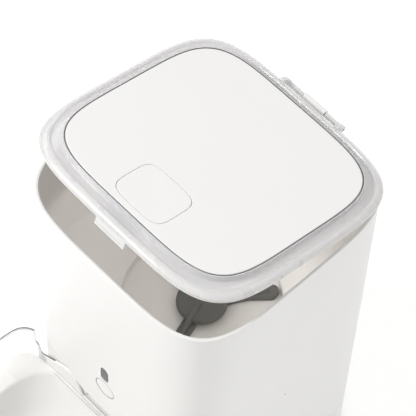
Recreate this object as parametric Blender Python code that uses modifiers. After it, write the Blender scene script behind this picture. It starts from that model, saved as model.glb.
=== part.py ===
"""A smart pet feeder: a squircle tower with a clear lid, a stirrer, a dosing rotor and a bowl in front.

Run with: blender --background --python part.py
Metres, +Z up. Every piece hangs from an empty on the tower's axis, which is also the stirrer's axis.
"""

import math

import bmesh
import bpy
from mathutils import Matrix, Vector

# Clearances and mesh fineness
gap = 0.0003
overrun = 0.003
merge_distance = 0.00001
outline_points = 48
small_outline_points = 32
round_steps = 24
small_steps = 12
hidden_steps = 8

# Tower housing
tower_half_width = 0.0900
tower_half_depth = 0.0911
tower_power = 4.63
tower_wall = 0.0020
rim_height = 0.3120
rim_round = 0.0006
base_height = 0.0400
ledge_depth = 0.0012
ledge_thickness = 0.0024

# Flat lower front, with its overhanging lip, and the outlet
flat_setback = 0.0071
lip_over_outlet = 0.0020
lip_rise = 0.0110
lip_middle_half = 0.0220
lip_slope_width = 0.0260
outlet_half_width = 0.0290
outlet_over_bowl = 0.0020
outlet_height = 0.0250

# Base under the tower and the bowl
front_margin = 0.0010
base_power = 8.0
base_wall = 0.0024
base_edge_round = 0.0012
base_clearance = 0.0030
cover_thickness = 0.0020
boss_radius = 0.0045
boss_corner_share = 0.8145
boss_inset = 0.0168
screw_radius = 0.0015
screw_head_radius = 0.0030
screw_head_height = 0.0013
screw_length = 0.0110
foot_radius = 0.0090
foot_round = 0.0008
foot_inset_x = 0.0260
foot_inset_back = 0.0330
foot_inset_front = 0.0375

# Hopper funnel, with the round well that the stirrer turns in
funnel_wall = 0.0018
funnel_fall = 0.0397
funnel_rim_height = 0.0020
funnel_rim_width = 0.0014
well_inset = 0.0310
well_depth = 0.0095
well_floor_thickness = 0.0020
well_edge_round = 0.0012
window_inner_radius = 0.0200
window_margin = 0.0040
window_half_angle = 30.0

# Stirrer: a domed hub and three arms that lie just over the well floor
stirrer_hub_radius = 0.0185
stirrer_hub_foot_radius = 0.0145
stirrer_hub_height = 0.0110
stirrer_clearance = 0.0020
stirrer_arm_root = 0.0130
stirrer_arm_waist = 0.0105
stirrer_arm_tip = 0.0150
stirrer_arm_thickness = 0.0040
stirrer_ridge_height = 0.0022
stirrer_arm_angles = (-73.0, 56.0, 172.0)

# Dosing cup and rotor
cup_wall = 0.0020
cup_step = 0.0030
cup_depth = 0.0225
rotor_clearance = 0.0006
rotor_hub_radius = 0.0100
rotor_vane = 0.0020
rotor_vanes = 6
shaft_radius = 0.0030
shaft_gap = 0.0003
shaft_hole_radius = 0.0045
shaft_in_gearbox = 0.0080

# Gearmotor
gearbox_half_width = 0.0180
gearbox_front = 0.0140
gearbox_back = 0.0380
gearbox_height = 0.0220
gearbox_round = 0.0020
motor_radius = 0.0120
motor_length = 0.0300
motor_margin = 0.0020

# Chute from the cup to the outlet
chute_wall = 0.0016
chute_fall = 0.0180
chute_lead = 0.0020
chute_lap = 0.0060
chute_drop = 0.0030

# Electronics, and the power inlet at the back
board_thickness = 0.0016
board_half_width = 0.0350
board_over_base = 0.0200
board_height = 0.0550
board_standoff = 0.0052
standoff_radius = 0.0025
standoff_inset = 0.0070
chip_size = 0.0120
chip_height = 0.0018
socket_length = 0.0160
socket_height = 0.0050
socket_depth = 0.0040
inlet_radius = 0.0039
inlet_bore_radius = 0.0027
inlet_pin_radius = 0.0010
inlet_length = 0.0150
inlet_bore_depth = 0.0090
inlet_over_base = 0.0100
inlet_offset = 0.0300

# Feed button, its switch, and the indicator
button_radius = 0.00875
button_over_lip = 0.0360
button_proud = 0.0004
button_flange = 0.0012
button_flange_thickness = 0.0012
button_depth = 0.0050
button_stem_radius = 0.0020
button_travel = 0.0008
button_round = 0.0005
indicator_half_width = 0.0035
indicator_half_height = 0.0085
indicator_pitch = 0.0200
indicator_flange = 0.0010
indicator_flange_thickness = 0.0012
switch_board_half_width = 0.0120
switch_board_margin = 0.0050
switch_board_setback = 0.0115
switch_half_size = 0.0030
switch_body_height = 0.0030
switch_plunger_radius = 0.0017
pinhole_radius = 0.0008
pinhole_rise = 0.0090
pinhole_offset = 0.0070

# Lid hinge: the axis is outside the tower's back wall and just under its rim
hinge_setback = 0.0054
hinge_drop = 0.0019
lid_open_angle = 14.0
knuckle_radius = 0.0028
knuckle_half_length = 0.0097
hinge_pin_radius = 0.0008
hinge_bore_radius = 0.0011
yoke_outer = 0.0265
yoke_arm = 0.0030
yoke_barrel_radius = 0.0019
yoke_clearance = 0.0006

# Lid, in heights over its base plane, which is just over the rim when the lid is shut
lid_lift = 0.0006
lid_overhang = 0.00075
lid_setback = 0.0011
lid_power = 4.78
lid_gasket_height = 0.0010
lid_side_height = 0.0022
lid_crest_height = 0.0052
lid_crest_inset_x = 0.00375
lid_crest_inset_y = 0.0043
lid_crest_half = 0.0010
lid_moat_height = 0.0036
lid_deck = 0.0018
lid_rib_clearance_x = 0.0023
lid_rib_clearance_y = 0.0033
lid_rib_wall = 0.0014
lid_rib_depth = 0.0030
gasket_width_x = 0.0024
gasket_width_y = 0.0014
gasket_inset = 0.0002
gasket_hang = 0.0003
moat_reach_x = 0.01205
moat_reach_y = 0.0130
plate_height = 0.0085
plate_wall = 0.0016
plate_round = 0.0010
plate_boss_radius = 0.0030
plate_boss_inset = 0.0280
plate_ridge_height = 0.0022
plate_ridge_wall = 0.0008

# Lid button and latch
lid_button_inset = 0.0230
lid_button_half_width = 0.02095
lid_button_half_depth = 0.01765
lid_button_power = 4.5
lid_button_gap = 0.00035
lid_button_flange = 0.0015
lid_button_flange_thickness = 0.0009
lid_button_dish = 0.0003
lid_button_travel = 0.0016
stem_half_width = 0.0050
stem_offset = 0.0082
stem_depth = 0.0046
stem_drop = 0.0033
latch_half_width = 0.0130
latch_thickness = 0.0015
latch_top_gap = 0.0003
latch_tail = 0.0026
tongue_clearance = 0.0007
tongue_thickness = 0.0016
tongue_depth = 0.0085
tongue_nose = 0.00035
tongue_nose_height = 0.0020
latch_window_reach = 0.0023
latch_window_margin = 0.0006
bracket_wall = 0.0020
bracket_floor = 0.0020
bracket_setback = 0.0084
spring_room = 0.0110
spring_radius = 0.0012
spring_wire_radius = 0.0002
spring_turns = 6
spring_points = 8
spring_groove_half = 0.0022
catch_pocket_depth = 0.0011
catch_pocket_margin = 0.0010

# Desiccant box under the lid
desiccant_half_width = 0.0360
desiccant_half_depth = 0.0300
desiccant_centre = 0.0080
desiccant_depth = 0.0130
desiccant_wall = 0.0015
desiccant_power = 7.0
desiccant_door_thickness = 0.0016
desiccant_slot_half_length = 0.0200
desiccant_slot_half_width = 0.0013
desiccant_slots = 5
desiccant_slot_pitch = 0.0080
desiccant_pin_offset = 0.0024
desiccant_knuckle_radius = 0.0016
desiccant_pin_radius = 0.0008
desiccant_lug_half = 0.0180
desiccant_ear = 0.0040
desiccant_stub = 0.0040
pack_margin = 0.0015
pack_half_height = 0.0045

# Bowl and its clear guard
guard_overhang = 0.0010
guard_back_reach = 0.0662
guard_front_reach = 0.0660
guard_front_power = 4.0
guard_back_power = 9.0
guard_wall = 0.0018
guard_floor = 0.0020
wing_under_lip = 0.0040
guard_back_over_bowl = 0.0195
guard_front_over_bowl = 0.0060
guard_step_inset = 0.0250
guard_step_width = 0.0110
notch_margin = 0.0020
guard_notch_slope = 0.0080
notch_under_outlet = 0.0004
guard_sweep_lead = 0.0407
guard_sweep_inset = 0.0215
guard_bottom_round = 0.0020
bowl_depth = 0.0365
bowl_flange_side = 0.0177
bowl_flange_back = 0.0038
bowl_back_reach = 0.0549
bowl_half_depth = 0.0630
bowl_wall = 0.0018
bowl_side_gap = 0.0004
bowl_back_lean = 0.35
bowl_foot_height = 0.0051

# The bowl's cavity, as shares of its half width, its half depth and its depth, with the outline's power
bowl_cavity_shares = (
    (1.000, 1.000, 0.000, 4.0),
    (0.978, 0.975, 0.050, 3.9),
    (0.930, 0.915, 0.280, 3.3),
    (0.845, 0.810, 0.580, 2.9),
    (0.715, 0.660, 0.850, 2.6),
    (0.600, 0.530, 0.960, 2.5),
    (0.480, 0.400, 1.000, 2.4),
)

# The funnel between its rim and the well, as shares of the way down, of the way in, and the outline's power
funnel_shares = (
    (0.00, 0.00, 4.63),
    (0.22, 0.17, 4.10),
    (0.48, 0.42, 3.20),
    (0.74, 0.70, 2.50),
    (1.00, 1.00, 2.00),
)

# Places in plan, from the tower outwards
tower_inner_width = tower_half_width - tower_wall
tower_inner_depth = tower_half_depth - tower_wall
flat_front = tower_half_depth - flat_setback
guard_half_width = tower_half_width + guard_overhang
guard_back = flat_front + gap
guard_middle = guard_back + guard_back_reach
guard_front = guard_middle + guard_front_reach
guard_step_start = guard_half_width - guard_step_inset
guard_step_end = guard_step_start + guard_step_width
guard_notch_half = outlet_half_width + notch_margin
guard_sweep_start = guard_back + guard_sweep_lead
guard_sweep_end = guard_front - guard_sweep_inset
bowl_half_width = guard_half_width - bowl_flange_side
bowl_back = guard_back + bowl_flange_back
bowl_middle = bowl_back + bowl_back_reach
front_reach = guard_front - front_margin
lip_side_half = lip_middle_half + lip_slope_width
well_radius = min(tower_inner_width, tower_inner_depth) - well_inset
cup_inner_radius = well_radius - cup_step
window_outer_radius = cup_inner_radius - window_margin
stirrer_reach = well_radius - stirrer_clearance
motor_offset = gearbox_back - motor_radius - motor_margin
chute_back = window_inner_radius - chute_lead
chute_roof_start = window_outer_radius + chute_lap

# Heights, from the base upwards
guard_bottom = base_height + gap
bowl_rim_height = guard_bottom + guard_floor + gap + bowl_foot_height + bowl_wall + bowl_depth
outlet_bottom = bowl_rim_height + outlet_over_bowl
outlet_top = outlet_bottom + outlet_height
lip_middle_height = outlet_top + lip_over_outlet
lip_side_height = lip_middle_height + lip_rise
guard_wing_height = lip_side_height - wing_under_lip
guard_back_height = bowl_rim_height + guard_back_over_bowl
guard_front_height = bowl_rim_height + guard_front_over_bowl
guard_notch_height = outlet_bottom - notch_under_outlet
cup_floor_height = outlet_top + chute_fall
well_floor_height = cup_floor_height + cup_depth + well_floor_thickness
well_edge_height = well_floor_height + well_depth
ledge_height = well_edge_height + funnel_fall
button_height = lip_middle_height + button_over_lip
indicator_height = button_height + indicator_pitch
pinhole_height = button_height + pinhole_rise
board_bottom = base_height + board_over_base
board_top = board_bottom + board_height
inlet_height = base_height + inlet_over_base

# Places on the lid and its hinge
hinge_axis_y = tower_half_depth + hinge_setback
hinge_axis_z = rim_height - hinge_drop
yoke_inner = knuckle_half_length + yoke_clearance
lid_rise = hinge_drop + lid_lift
lid_half_width = tower_half_width + lid_overhang
lid_half_depth = tower_half_depth - lid_setback
lid_rib_half_width = tower_inner_width - lid_rib_clearance_x
lid_rib_half_depth = tower_inner_depth - lid_rib_clearance_y
plate_half_width = lid_half_width - moat_reach_x
plate_half_depth = lid_half_depth - moat_reach_y
lid_button_centre = plate_half_depth - lid_button_inset
stem_front = lid_button_centre + stem_offset
stem_back = stem_front - stem_depth
latch_back = stem_back - latch_tail
latch_window_front = stem_front + latch_window_reach
tongue_face = tower_inner_depth - tongue_clearance
bracket_front = tongue_face - bracket_setback
bracket_back = latch_back - spring_room
catch_pocket_half = latch_half_width + catch_pocket_margin
tower_axis_y = (guard_front - hinge_axis_y - knuckle_radius) / 2

for thing in list(bpy.context.scene.objects):
    bpy.data.objects.remove(thing, do_unlink=True)

parts = bpy.data.collections.new("smart_pet_feeder")
cutters = bpy.data.collections.new("cutters")
bpy.context.scene.collection.children.link(parts)
bpy.context.scene.collection.children.link(cutters)


def material(name, colour, roughness, metallic=0.0, alpha=1.0):
    """One Principled material, in linear colour."""
    made = bpy.data.materials.new(name)
    made.use_nodes = True
    shader = made.node_tree.nodes["Principled BSDF"]
    shader.inputs["Base Color"].default_value = (*colour, 1.0)
    shader.inputs["Roughness"].default_value = roughness
    shader.inputs["Metallic"].default_value = metallic
    shader.inputs["Alpha"].default_value = alpha
    made.diffuse_color = (*colour, alpha)
    return made


finishes = {
    "housing": ((0.87, 0.87, 0.86), 0.35, 0.0, 1.0),
    "hopper": ((0.55, 0.53, 0.50), 0.45, 0.0, 1.0),
    "clear": ((0.86, 0.90, 0.90), 0.08, 0.0, 0.35),
    "silicone": ((0.75, 0.76, 0.75), 0.60, 0.0, 1.0),
    "stirrer": ((0.09, 0.09, 0.10), 0.55, 0.0, 1.0),
    "rubber": ((0.08, 0.08, 0.08), 0.80, 0.0, 1.0),
    "steel": ((0.55, 0.56, 0.58), 0.30, 1.0, 1.0),
    "board": ((0.03, 0.18, 0.08), 0.50, 0.0, 1.0),
    "mechanism": ((0.30, 0.31, 0.33), 0.50, 0.0, 1.0),
    "smoked": ((0.06, 0.06, 0.07), 0.20, 0.0, 1.0),
    "paper": ((0.80, 0.80, 0.78), 0.90, 0.0, 1.0),
    "bowl": ((0.85, 0.85, 0.84), 0.22, 0.0, 1.0),
}


def empty(name, location, parent=None, turn=0.0):
    """An empty that carries pieces. turn is in degrees about X."""
    made = bpy.data.objects.new(name, None)
    parts.objects.link(made)
    made.parent = parent
    made.location = location
    made.rotation_euler = (math.radians(turn), 0.0, 0.0)
    return made


tower = empty("tower_axis", (0.0, tower_axis_y, 0.0))
lid_axis = empty("lid_axis", (0.0, hinge_axis_y, hinge_axis_z), tower, -lid_open_angle)

# A seat is the empty that a piece hangs from, and the place of the piece's origin in it
on_tower = (tower, Vector((0.0, 0.0, 0.0)))
on_lid = (lid_axis, Vector((0.0, -hinge_axis_y, lid_rise)))


def add(name, mesh, finish, seat):
    """Links a mesh as a named part with its own material, or as a cutter where finish is None."""
    made = bpy.data.objects.new(name, mesh)
    made.parent, made.location = seat
    if finish is None:
        cutters.objects.link(made)
        made.hide_render = True
        made.display_type = "WIRE"
        return made
    parts.objects.link(made)
    mesh.materials.append(material(name, *finishes[finish]))
    return made


def finished(name, shape, finish, seat, smooth_angle=40.0):
    """Turns a bmesh into a linked object, smooth but for its sharp edges."""
    bmesh.ops.recalc_face_normals(shape, faces=shape.faces)
    mesh = bpy.data.meshes.new(name)
    shape.to_mesh(mesh)
    shape.free()
    mesh.shade_smooth()
    mesh.set_sharp_from_angle(angle=math.radians(smooth_angle))
    return add(name, mesh, finish, seat)


def squircle(half_x, half_y, power, height, centre_y=0.0, points=outline_points,
             back_power=None, half_back=None):
    """Outline |x/a|^p + |y/b|^p = 1. The half towards +Y may have its own half size and power."""
    ring = []
    for step in range(points):
        turn = 2 * math.pi * step / points
        along, across = math.cos(turn), math.sin(turn)
        behind = across > 0.0
        bend = back_power if behind and back_power else power
        reach = half_back if behind and half_back else half_y
        x = half_x * math.copysign(abs(along) ** (2 / bend), along)
        y = reach * math.copysign(abs(across) ** (2 / bend), across)
        ring.append(Vector((x, centre_y + y, height)))
    return ring


def circle(radius, height, points=outline_points):
    """Round ring, with as many points as the squircles, so that the two can be lofted."""
    return squircle(radius, radius, 2.0, height, points=points)


def stack(name, rings, finish, seat=on_tower):
    """Loft through rings with as many points each, closed at both ends."""
    shape = bmesh.new()
    layers = [[shape.verts.new(point) for point in ring] for ring in rings]
    for lower, upper in zip(layers, layers[1:]):
        for here in range(len(lower)):
            there = (here + 1) % len(lower)
            shape.faces.new((lower[here], lower[there], upper[there], upper[here]))
    shape.faces.new(layers[0])
    shape.faces.new(layers[-1])
    return finished(name, shape, finish, seat)


def block(name, low, high, finish=None, seat=on_tower, bevel=0.0):
    """Box between two corners, with an optional bevel on its edges."""
    shape = bmesh.new()
    bmesh.ops.create_cube(shape, size=1.0)
    low, high = Vector(low), Vector(high)
    middle, size = (low + high) / 2, high - low
    place = Matrix.Translation(middle) @ Matrix.Diagonal((*size, 1.0))
    bmesh.ops.transform(shape, verts=shape.verts, matrix=place)
    if bevel:
        bmesh.ops.bevel(shape, geom=shape.edges[:], offset=bevel, segments=2, affect="EDGES")
    return finished(name, shape, finish, seat, 30.0)


def rod(name, radius, start, end, finish=None, seat=on_tower, steps=small_steps):
    """Cylinder between two points."""
    start, end = Vector(start), Vector(end)
    axis = end - start
    place = Matrix.Translation((start + end) / 2) @ axis.to_track_quat("Z", "Y").to_matrix().to_4x4()
    shape = bmesh.new()
    bmesh.ops.create_cone(shape, cap_ends=True, segments=steps, radius1=radius, radius2=radius,
                          depth=axis.length, matrix=place)
    return finished(name, shape, finish, seat)


def prism(name, outline, low, high, finish=None, seat=on_tower, along="X"):
    """A flat outline swept from low to high along one axis: (y, z) pairs along X, or (x, z) pairs along Y,
    or (x, y) pairs along Z."""
    shape = bmesh.new()
    turns = {"X": lambda a, b: (low, a, b), "Y": lambda a, b: (a, low, b), "Z": lambda a, b: (a, b, low)}
    turn = turns[along]
    step = {"X": (high - low, 0.0, 0.0), "Y": (0.0, high - low, 0.0), "Z": (0.0, 0.0, high - low)}[along]
    face = shape.faces.new([shape.verts.new(turn(a, b)) for a, b in outline])
    grown = bmesh.ops.extrude_face_region(shape, geom=[face])
    moved = [item for item in grown["geom"] if isinstance(item, bmesh.types.BMVert)]
    bmesh.ops.translate(shape, verts=moved, vec=step)
    return finished(name, shape, finish, seat, 30.0)


def turned(name, profile, finish, place, seat=on_tower, steps=round_steps, closed=False):
    """Screw of a profile of (radius, height) pairs that runs down its outer side, about Z at place."""
    mesh = bpy.data.meshes.new(name)
    count = len(profile)
    edges = [(k, k + 1) for k in range(count - 1)] + ([(count - 1, 0)] if closed else [])
    mesh.from_pydata([(radius, 0.0, height) for radius, height in profile], edges, [])
    made = add(name, mesh, finish, (seat[0], seat[1] + Vector(place)))
    screw = made.modifiers.new("turn", "SCREW")
    screw.steps = screw.render_steps = steps
    screw.use_merge_vertices = True
    screw.merge_threshold = merge_distance
    screw.use_smooth_shade = True
    return made


def boolean(target, tool, operation):
    """Boolean of one object with another, which becomes a hidden tool."""
    step = target.modifiers.new(tool.name, "BOOLEAN")
    step.object = tool
    step.operation = operation
    step.solver = "EXACT"


def cut(target, tool):
    boolean(target, tool, "DIFFERENCE")


def fuse(target, tool):
    boolean(target, tool, "UNION")


def even_normals():
    """Keeps flat faces flat to the eye after the Booleans."""
    for made in parts.objects:
        if made.type == "MESH":
            step = made.modifiers.new("normals", "WEIGHTED_NORMAL")
            step.keep_sharp = True


def smooth_step(value, start, end):
    """0 before start, 1 after end, and an even S between them."""
    share = min(1.0, max(0.0, (value - start) / (end - start)))
    return share * share * (3.0 - 2.0 * share)


def capsule(half_width, half_height, centre, grow=0.0, steps=small_steps):
    """Upright capsule outline in (x, z)."""
    radius = half_width + grow
    straight = half_height - half_width
    points = []
    for step in range(steps + 1):
        turn = math.pi * step / steps
        points.append((radius * math.cos(turn), centre + straight + radius * math.sin(turn)))
    for step in range(steps + 1):
        turn = math.pi + math.pi * step / steps
        points.append((radius * math.cos(turn), centre - straight + radius * math.sin(turn)))
    return points


def lip_outline(rise, bottom):
    """Outline in (x, z) of the flat lower front. Its top edge is low in the middle, high at the sides."""
    side = tower_half_width
    count = outline_points // 2
    points = [(-side, bottom), (side, bottom)]
    for step in range(count + 1):
        x = side - 2 * side * step / count
        share = smooth_step(abs(x), lip_middle_half, lip_side_half)
        points.append((x, lip_middle_height + (lip_side_height - lip_middle_height) * share + rise))
    return points


def tower_housing():
    """Outer shell: a squircle tube with a flat lower front, a ledge inside and the hinge knuckle behind."""
    outer = []
    for inset, height in ((0.0, base_height + gap), (0.0, rim_height - rim_round), (rim_round, rim_height)):
        outer.append(squircle(tower_half_width - inset, tower_half_depth - inset, tower_power, height))
    shell = stack("tower_housing", outer, "housing")

    levels = (
        (0.0, base_height - overrun),
        (0.0, ledge_height - ledge_thickness - ledge_depth),
        (ledge_depth, ledge_height - ledge_thickness),
        (ledge_depth, ledge_height),
        (0.0, ledge_height),
        (0.0, rim_height + overrun),
    )
    rings = [squircle(tower_inner_width - inset, tower_inner_depth - inset, tower_power, height)
             for inset, height in levels]
    hollow = stack("tower_hollow", rings, None)
    front = -tower_half_depth - overrun
    bottom = base_height - overrun
    behind_flat = prism("flat_front_wall", lip_outline(tower_wall, bottom - overrun), front - overrun,
                        tower_wall - flat_front, along="Y")
    cut(hollow, behind_flat)
    cut(shell, prism("flat_front_recess", lip_outline(0.0, bottom), front, -flat_front, along="Y"))
    cut(shell, hollow)
    cut(shell, block("outlet_opening", (-outlet_half_width, -flat_front - overrun, outlet_bottom),
                     (outlet_half_width, tower_wall - flat_front + overrun, outlet_top)))
    inside = -tower_inner_depth + overrun
    lens = capsule(indicator_half_width, indicator_half_height, indicator_height, gap)
    cut(shell, prism("indicator_opening", lens, front, inside, along="Y"))
    cut(shell, rod("button_opening", button_radius + gap, (0.0, front, button_height),
                   (0.0, inside, button_height), steps=round_steps))
    side = tower_inner_width - overrun
    cut(shell, rod("pinhole", pinhole_radius, (side, -pinhole_offset, pinhole_height),
                   (tower_half_width + overrun, -pinhole_offset, pinhole_height)))
    cut(shell, rod("inlet_opening", inlet_radius + gap,
                   (inlet_offset, tower_inner_depth - overrun, inlet_height),
                   (inlet_offset, tower_half_depth + overrun, inlet_height)))
    pocket_top = rim_height + lid_lift - tongue_depth + tongue_nose_height + gap
    pocket_back = tower_inner_depth + catch_pocket_depth
    cut(shell, block("catch_pocket", (-catch_pocket_half, -pocket_back, pocket_top - overrun),
                     (catch_pocket_half, -tower_inner_depth + overrun, pocket_top)))
    add_standoffs(shell)
    add_knuckle(shell)
    return shell


def add_standoffs(shell):
    """Bosses on the inner walls that the two circuit boards are screwed to."""
    back = board_back()
    middle_of_wall = tower_half_depth - tower_wall / 2
    for side in (-1, 1):
        x = side * (board_half_width - standoff_inset)
        for height in (board_bottom + standoff_inset, board_top - standoff_inset):
            name = f"board_boss_{side}_{round(height / overrun)}"
            fuse(shell, rod(name, standoff_radius, (x, back, height), (x, middle_of_wall, height),
                            steps=hidden_steps))
        x = side * (switch_board_half_width - standoff_radius)
        low, high = switch_board_heights()
        for height in (low + standoff_radius, high - standoff_radius):
            name = f"switch_boss_{side}_{round(height / overrun)}"
            fuse(shell, rod(name, standoff_radius, (x, -middle_of_wall, height),
                            (x, switch_board_front() - gap, height), steps=hidden_steps))


def board_back():
    """The face of a boss that the control board lies against, with the gap."""
    return tower_inner_depth - board_standoff


def switch_board_front():
    return switch_board_setback - tower_half_depth


def switch_board_heights():
    low = button_height - button_radius - button_flange - switch_board_margin
    return low, indicator_height + indicator_half_height + switch_board_margin


def add_knuckle(shell):
    """Hinge knuckle on a short arm from the back wall, bored for the pin."""
    wall = tower_half_depth - tower_wall / 2
    top = hinge_axis_z + knuckle_radius / 2
    outline = [(wall, top), (hinge_axis_y, top), (hinge_axis_y, hinge_axis_z - knuckle_radius),
               (wall, hinge_axis_z - 2 * knuckle_radius)]
    fuse(shell, prism("knuckle_arm", outline, -knuckle_half_length, knuckle_half_length))
    fuse(shell, rod("knuckle_barrel", knuckle_radius, (-knuckle_half_length, hinge_axis_y, hinge_axis_z),
                    (knuckle_half_length, hinge_axis_y, hinge_axis_z), steps=round_steps))
    ends = knuckle_half_length + overrun
    cut(shell, rod("knuckle_bore", hinge_bore_radius, (-ends, hinge_axis_y, hinge_axis_z),
                   (ends, hinge_axis_y, hinge_axis_z)))


def base_ring(inset, height):
    """Outline of the base: the tower's squircle behind, and a long rounded front under the bowl."""
    return squircle(tower_half_width - inset, front_reach - inset, base_power, height,
                    back_power=tower_power, half_back=tower_half_depth - inset)


def screw_places():
    """The back bosses stand in the squircle's corners, the front ones a named inset from both sides."""
    across, behind = tower_half_width * boss_corner_share, tower_half_depth * boss_corner_share
    front_across, ahead = tower_half_width - boss_inset, boss_inset - front_reach
    return [(across, behind), (-across, behind), (-front_across, ahead), (front_across, ahead)]


def base_pan():
    """Hollow base that the tower stands on. Its front deck carries the bowl guard."""
    rings = (
        (base_edge_round, base_clearance),
        (0.0, base_clearance + base_edge_round),
        (0.0, base_height - base_edge_round),
        (base_edge_round, base_height),
    )
    pan = stack("base_pan", [base_ring(inset, height) for inset, height in rings], "housing")
    ceiling = base_height - base_wall
    inset = base_wall
    hollow = [base_ring(inset, base_clearance - overrun), base_ring(inset, ceiling)]
    cut(pan, stack("base_hollow", hollow, None))
    throat = [squircle(tower_half_width - inset, flat_front - inset, tower_power, height,
                       half_back=tower_half_depth - inset)
              for height in (ceiling - overrun, base_height + overrun)]
    cut(pan, stack("base_throat", throat, None))
    bottom = base_clearance + cover_thickness + 2 * gap
    for number, (x, y) in enumerate(screw_places(), 1):
        fuse(pan, rod(f"base_boss_{number}", boss_radius, (x, y, bottom), (x, y, ceiling + base_wall / 2)))
        cut(pan, rod(f"base_boss_bore_{number}", screw_radius + gap, (x, y, bottom - overrun),
                     (x, y, base_clearance + screw_length + overrun)))
    return pan


def base_cover():
    """Flat plate that closes the base from below, held by four screws."""
    inset = base_wall + gap
    bottom = base_clearance + gap
    rings = [base_ring(inset, bottom), base_ring(inset, bottom + cover_thickness)]
    plate = stack("base_cover", rings, "housing")
    for number, (x, y) in enumerate(screw_places(), 1):
        cut(plate, rod(f"cover_bore_{number}", screw_radius + gap, (x, y, bottom - overrun),
                       (x, y, bottom + cover_thickness + overrun)))
        head = base_clearance
        screw = [(0.0, head + screw_length), (screw_radius, head + screw_length), (screw_radius, head),
                 (screw_head_radius, head), (screw_head_radius, head - screw_head_height),
                 (0.0, head - screw_head_height)]
        turned(f"base_screw_{number}", screw, "steel", (x, y, 0.0), steps=small_steps)
    return plate


def feet():
    """Four rubber feet under the cover."""
    x = tower_half_width - foot_inset_x
    top = base_clearance
    spots = [(x, tower_half_depth - foot_inset_back), (-x, tower_half_depth - foot_inset_back),
             (-x, foot_inset_front - front_reach), (x, foot_inset_front - front_reach)]
    profile = [(0.0, top), (foot_radius, top), (foot_radius, foot_round),
               (foot_radius - foot_round, 0.0), (0.0, 0.0)]
    for number, (across, along) in enumerate(spots, 1):
        turned(f"foot_{number}", profile, "rubber", (across, along, 0.0), steps=round_steps)


def sector(inner, outer, middle_angle, half_angle, steps=small_steps):
    """Outline in (x, y) of a ring sector, angles in degrees."""
    points = []
    for step in range(steps + 1):
        turn = math.radians(middle_angle - half_angle + 2 * half_angle * step / steps)
        points.append((outer * math.cos(turn), outer * math.sin(turn)))
    for step in range(steps + 1):
        turn = math.radians(middle_angle + half_angle - 2 * half_angle * step / steps)
        points.append((inner * math.cos(turn), inner * math.sin(turn)))
    return points


def funnel_rings(thickness):
    """Rings from the funnel's rim to the well's edge, on the face that food slides on or below it."""
    start_x = tower_inner_width - gap - funnel_rim_width
    start_y = tower_inner_depth - gap - funnel_rim_width
    start_z = ledge_height + gap + funnel_rim_height
    rings = []
    for down, inwards, power in funnel_shares:
        radius = well_radius + well_edge_round
        outwards = thickness / 2 if inwards else -thickness / 2
        half_x = start_x + (radius - start_x) * inwards + outwards
        half_y = start_y + (radius - start_y) * inwards + outwards
        height = start_z + (well_edge_height - start_z) * down - thickness
        rings.append(squircle(half_x, half_y, power, height))
    return rings


def hopper_funnel():
    """Funnel from the squircle hopper to a round well, whose floor has the drop window behind the hub."""
    edge_x = tower_inner_width - gap
    edge_y = tower_inner_depth - gap
    bottom = ledge_height + gap
    top = bottom + funnel_rim_height
    outer_radius = well_radius + funnel_wall
    underside = [circle(outer_radius, well_floor_height - well_floor_thickness)]
    underside += list(reversed(funnel_rings(funnel_wall)))
    rim = [squircle(edge_x - ledge_depth, edge_y - ledge_depth, tower_power, bottom),
           squircle(edge_x, edge_y, tower_power, bottom), squircle(edge_x, edge_y, tower_power, top)]
    inside = funnel_rings(0.0)
    inside.append(circle(well_radius, well_edge_height - well_edge_round))
    inside.append(circle(well_radius, well_floor_height))
    funnel = stack("hopper_funnel", underside[:-1] + rim + inside, "hopper")
    low, high = well_floor_height - well_floor_thickness - overrun, well_floor_height + overrun
    window = sector(window_inner_radius, window_outer_radius, 90.0, window_half_angle)
    cut(funnel, prism("drop_window", window, low, high, along="Z"))
    cut(funnel, rod("well_shaft_hole", shaft_hole_radius, (0.0, 0.0, low), (0.0, 0.0, high),
                    steps=round_steps))
    return funnel


def spun(outline, degrees):
    """A flat outline turned about the tower's axis."""
    turn = math.radians(degrees)
    across, along = math.cos(turn), math.sin(turn)
    return [(x * across - y * along, x * along + y * across) for x, y in outline]


def stirrer():
    """Hub like a flat mushroom and three flat arms, each with a raised ridge along its middle."""
    bottom = well_floor_height + rotor_clearance
    top = bottom + stirrer_hub_height
    edge = stirrer_hub_height / 4
    profile = [(0.0, top), (stirrer_hub_radius / 2, top), (stirrer_hub_radius - edge, top - edge),
               (stirrer_hub_radius, top - 2 * edge), (stirrer_hub_foot_radius, bottom), (0.0, bottom)]
    hub = turned("stirrer", profile, "stirrer", (0.0, 0.0, 0.0), steps=round_steps)
    start = stirrer_hub_radius / 2
    waist = (stirrer_hub_radius + stirrer_reach) / 2
    for number, degrees in enumerate(stirrer_arm_angles, 1):
        half = [(start, stirrer_arm_root / 2), (waist, stirrer_arm_waist / 2),
                (stirrer_reach - stirrer_arm_tip / 3, stirrer_arm_tip / 2),
                (stirrer_reach, stirrer_arm_tip / 4)]
        outline = half + [(x, -y) for x, y in reversed(half)]
        arm = spun(outline, degrees)
        fuse(hub, prism(f"stirrer_arm_{number}", arm, bottom, bottom + stirrer_arm_thickness, along="Z"))
        ridge = [(start, stirrer_ridge_height),
                 (stirrer_reach - stirrer_arm_tip / 2, stirrer_ridge_height / 2)]
        ridge = spun(ridge + [(x, -y) for x, y in reversed(ridge)], degrees)
        fuse(hub, prism(f"stirrer_ridge_{number}", ridge, bottom + stirrer_arm_thickness / 2,
                        bottom + stirrer_arm_thickness + stirrer_ridge_height, along="Z"))
    cut(hub, rod("stirrer_bore", shaft_radius + shaft_gap, (0.0, 0.0, bottom - overrun),
                 (0.0, 0.0, top - 2 * edge), steps=round_steps))
    return hub


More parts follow.
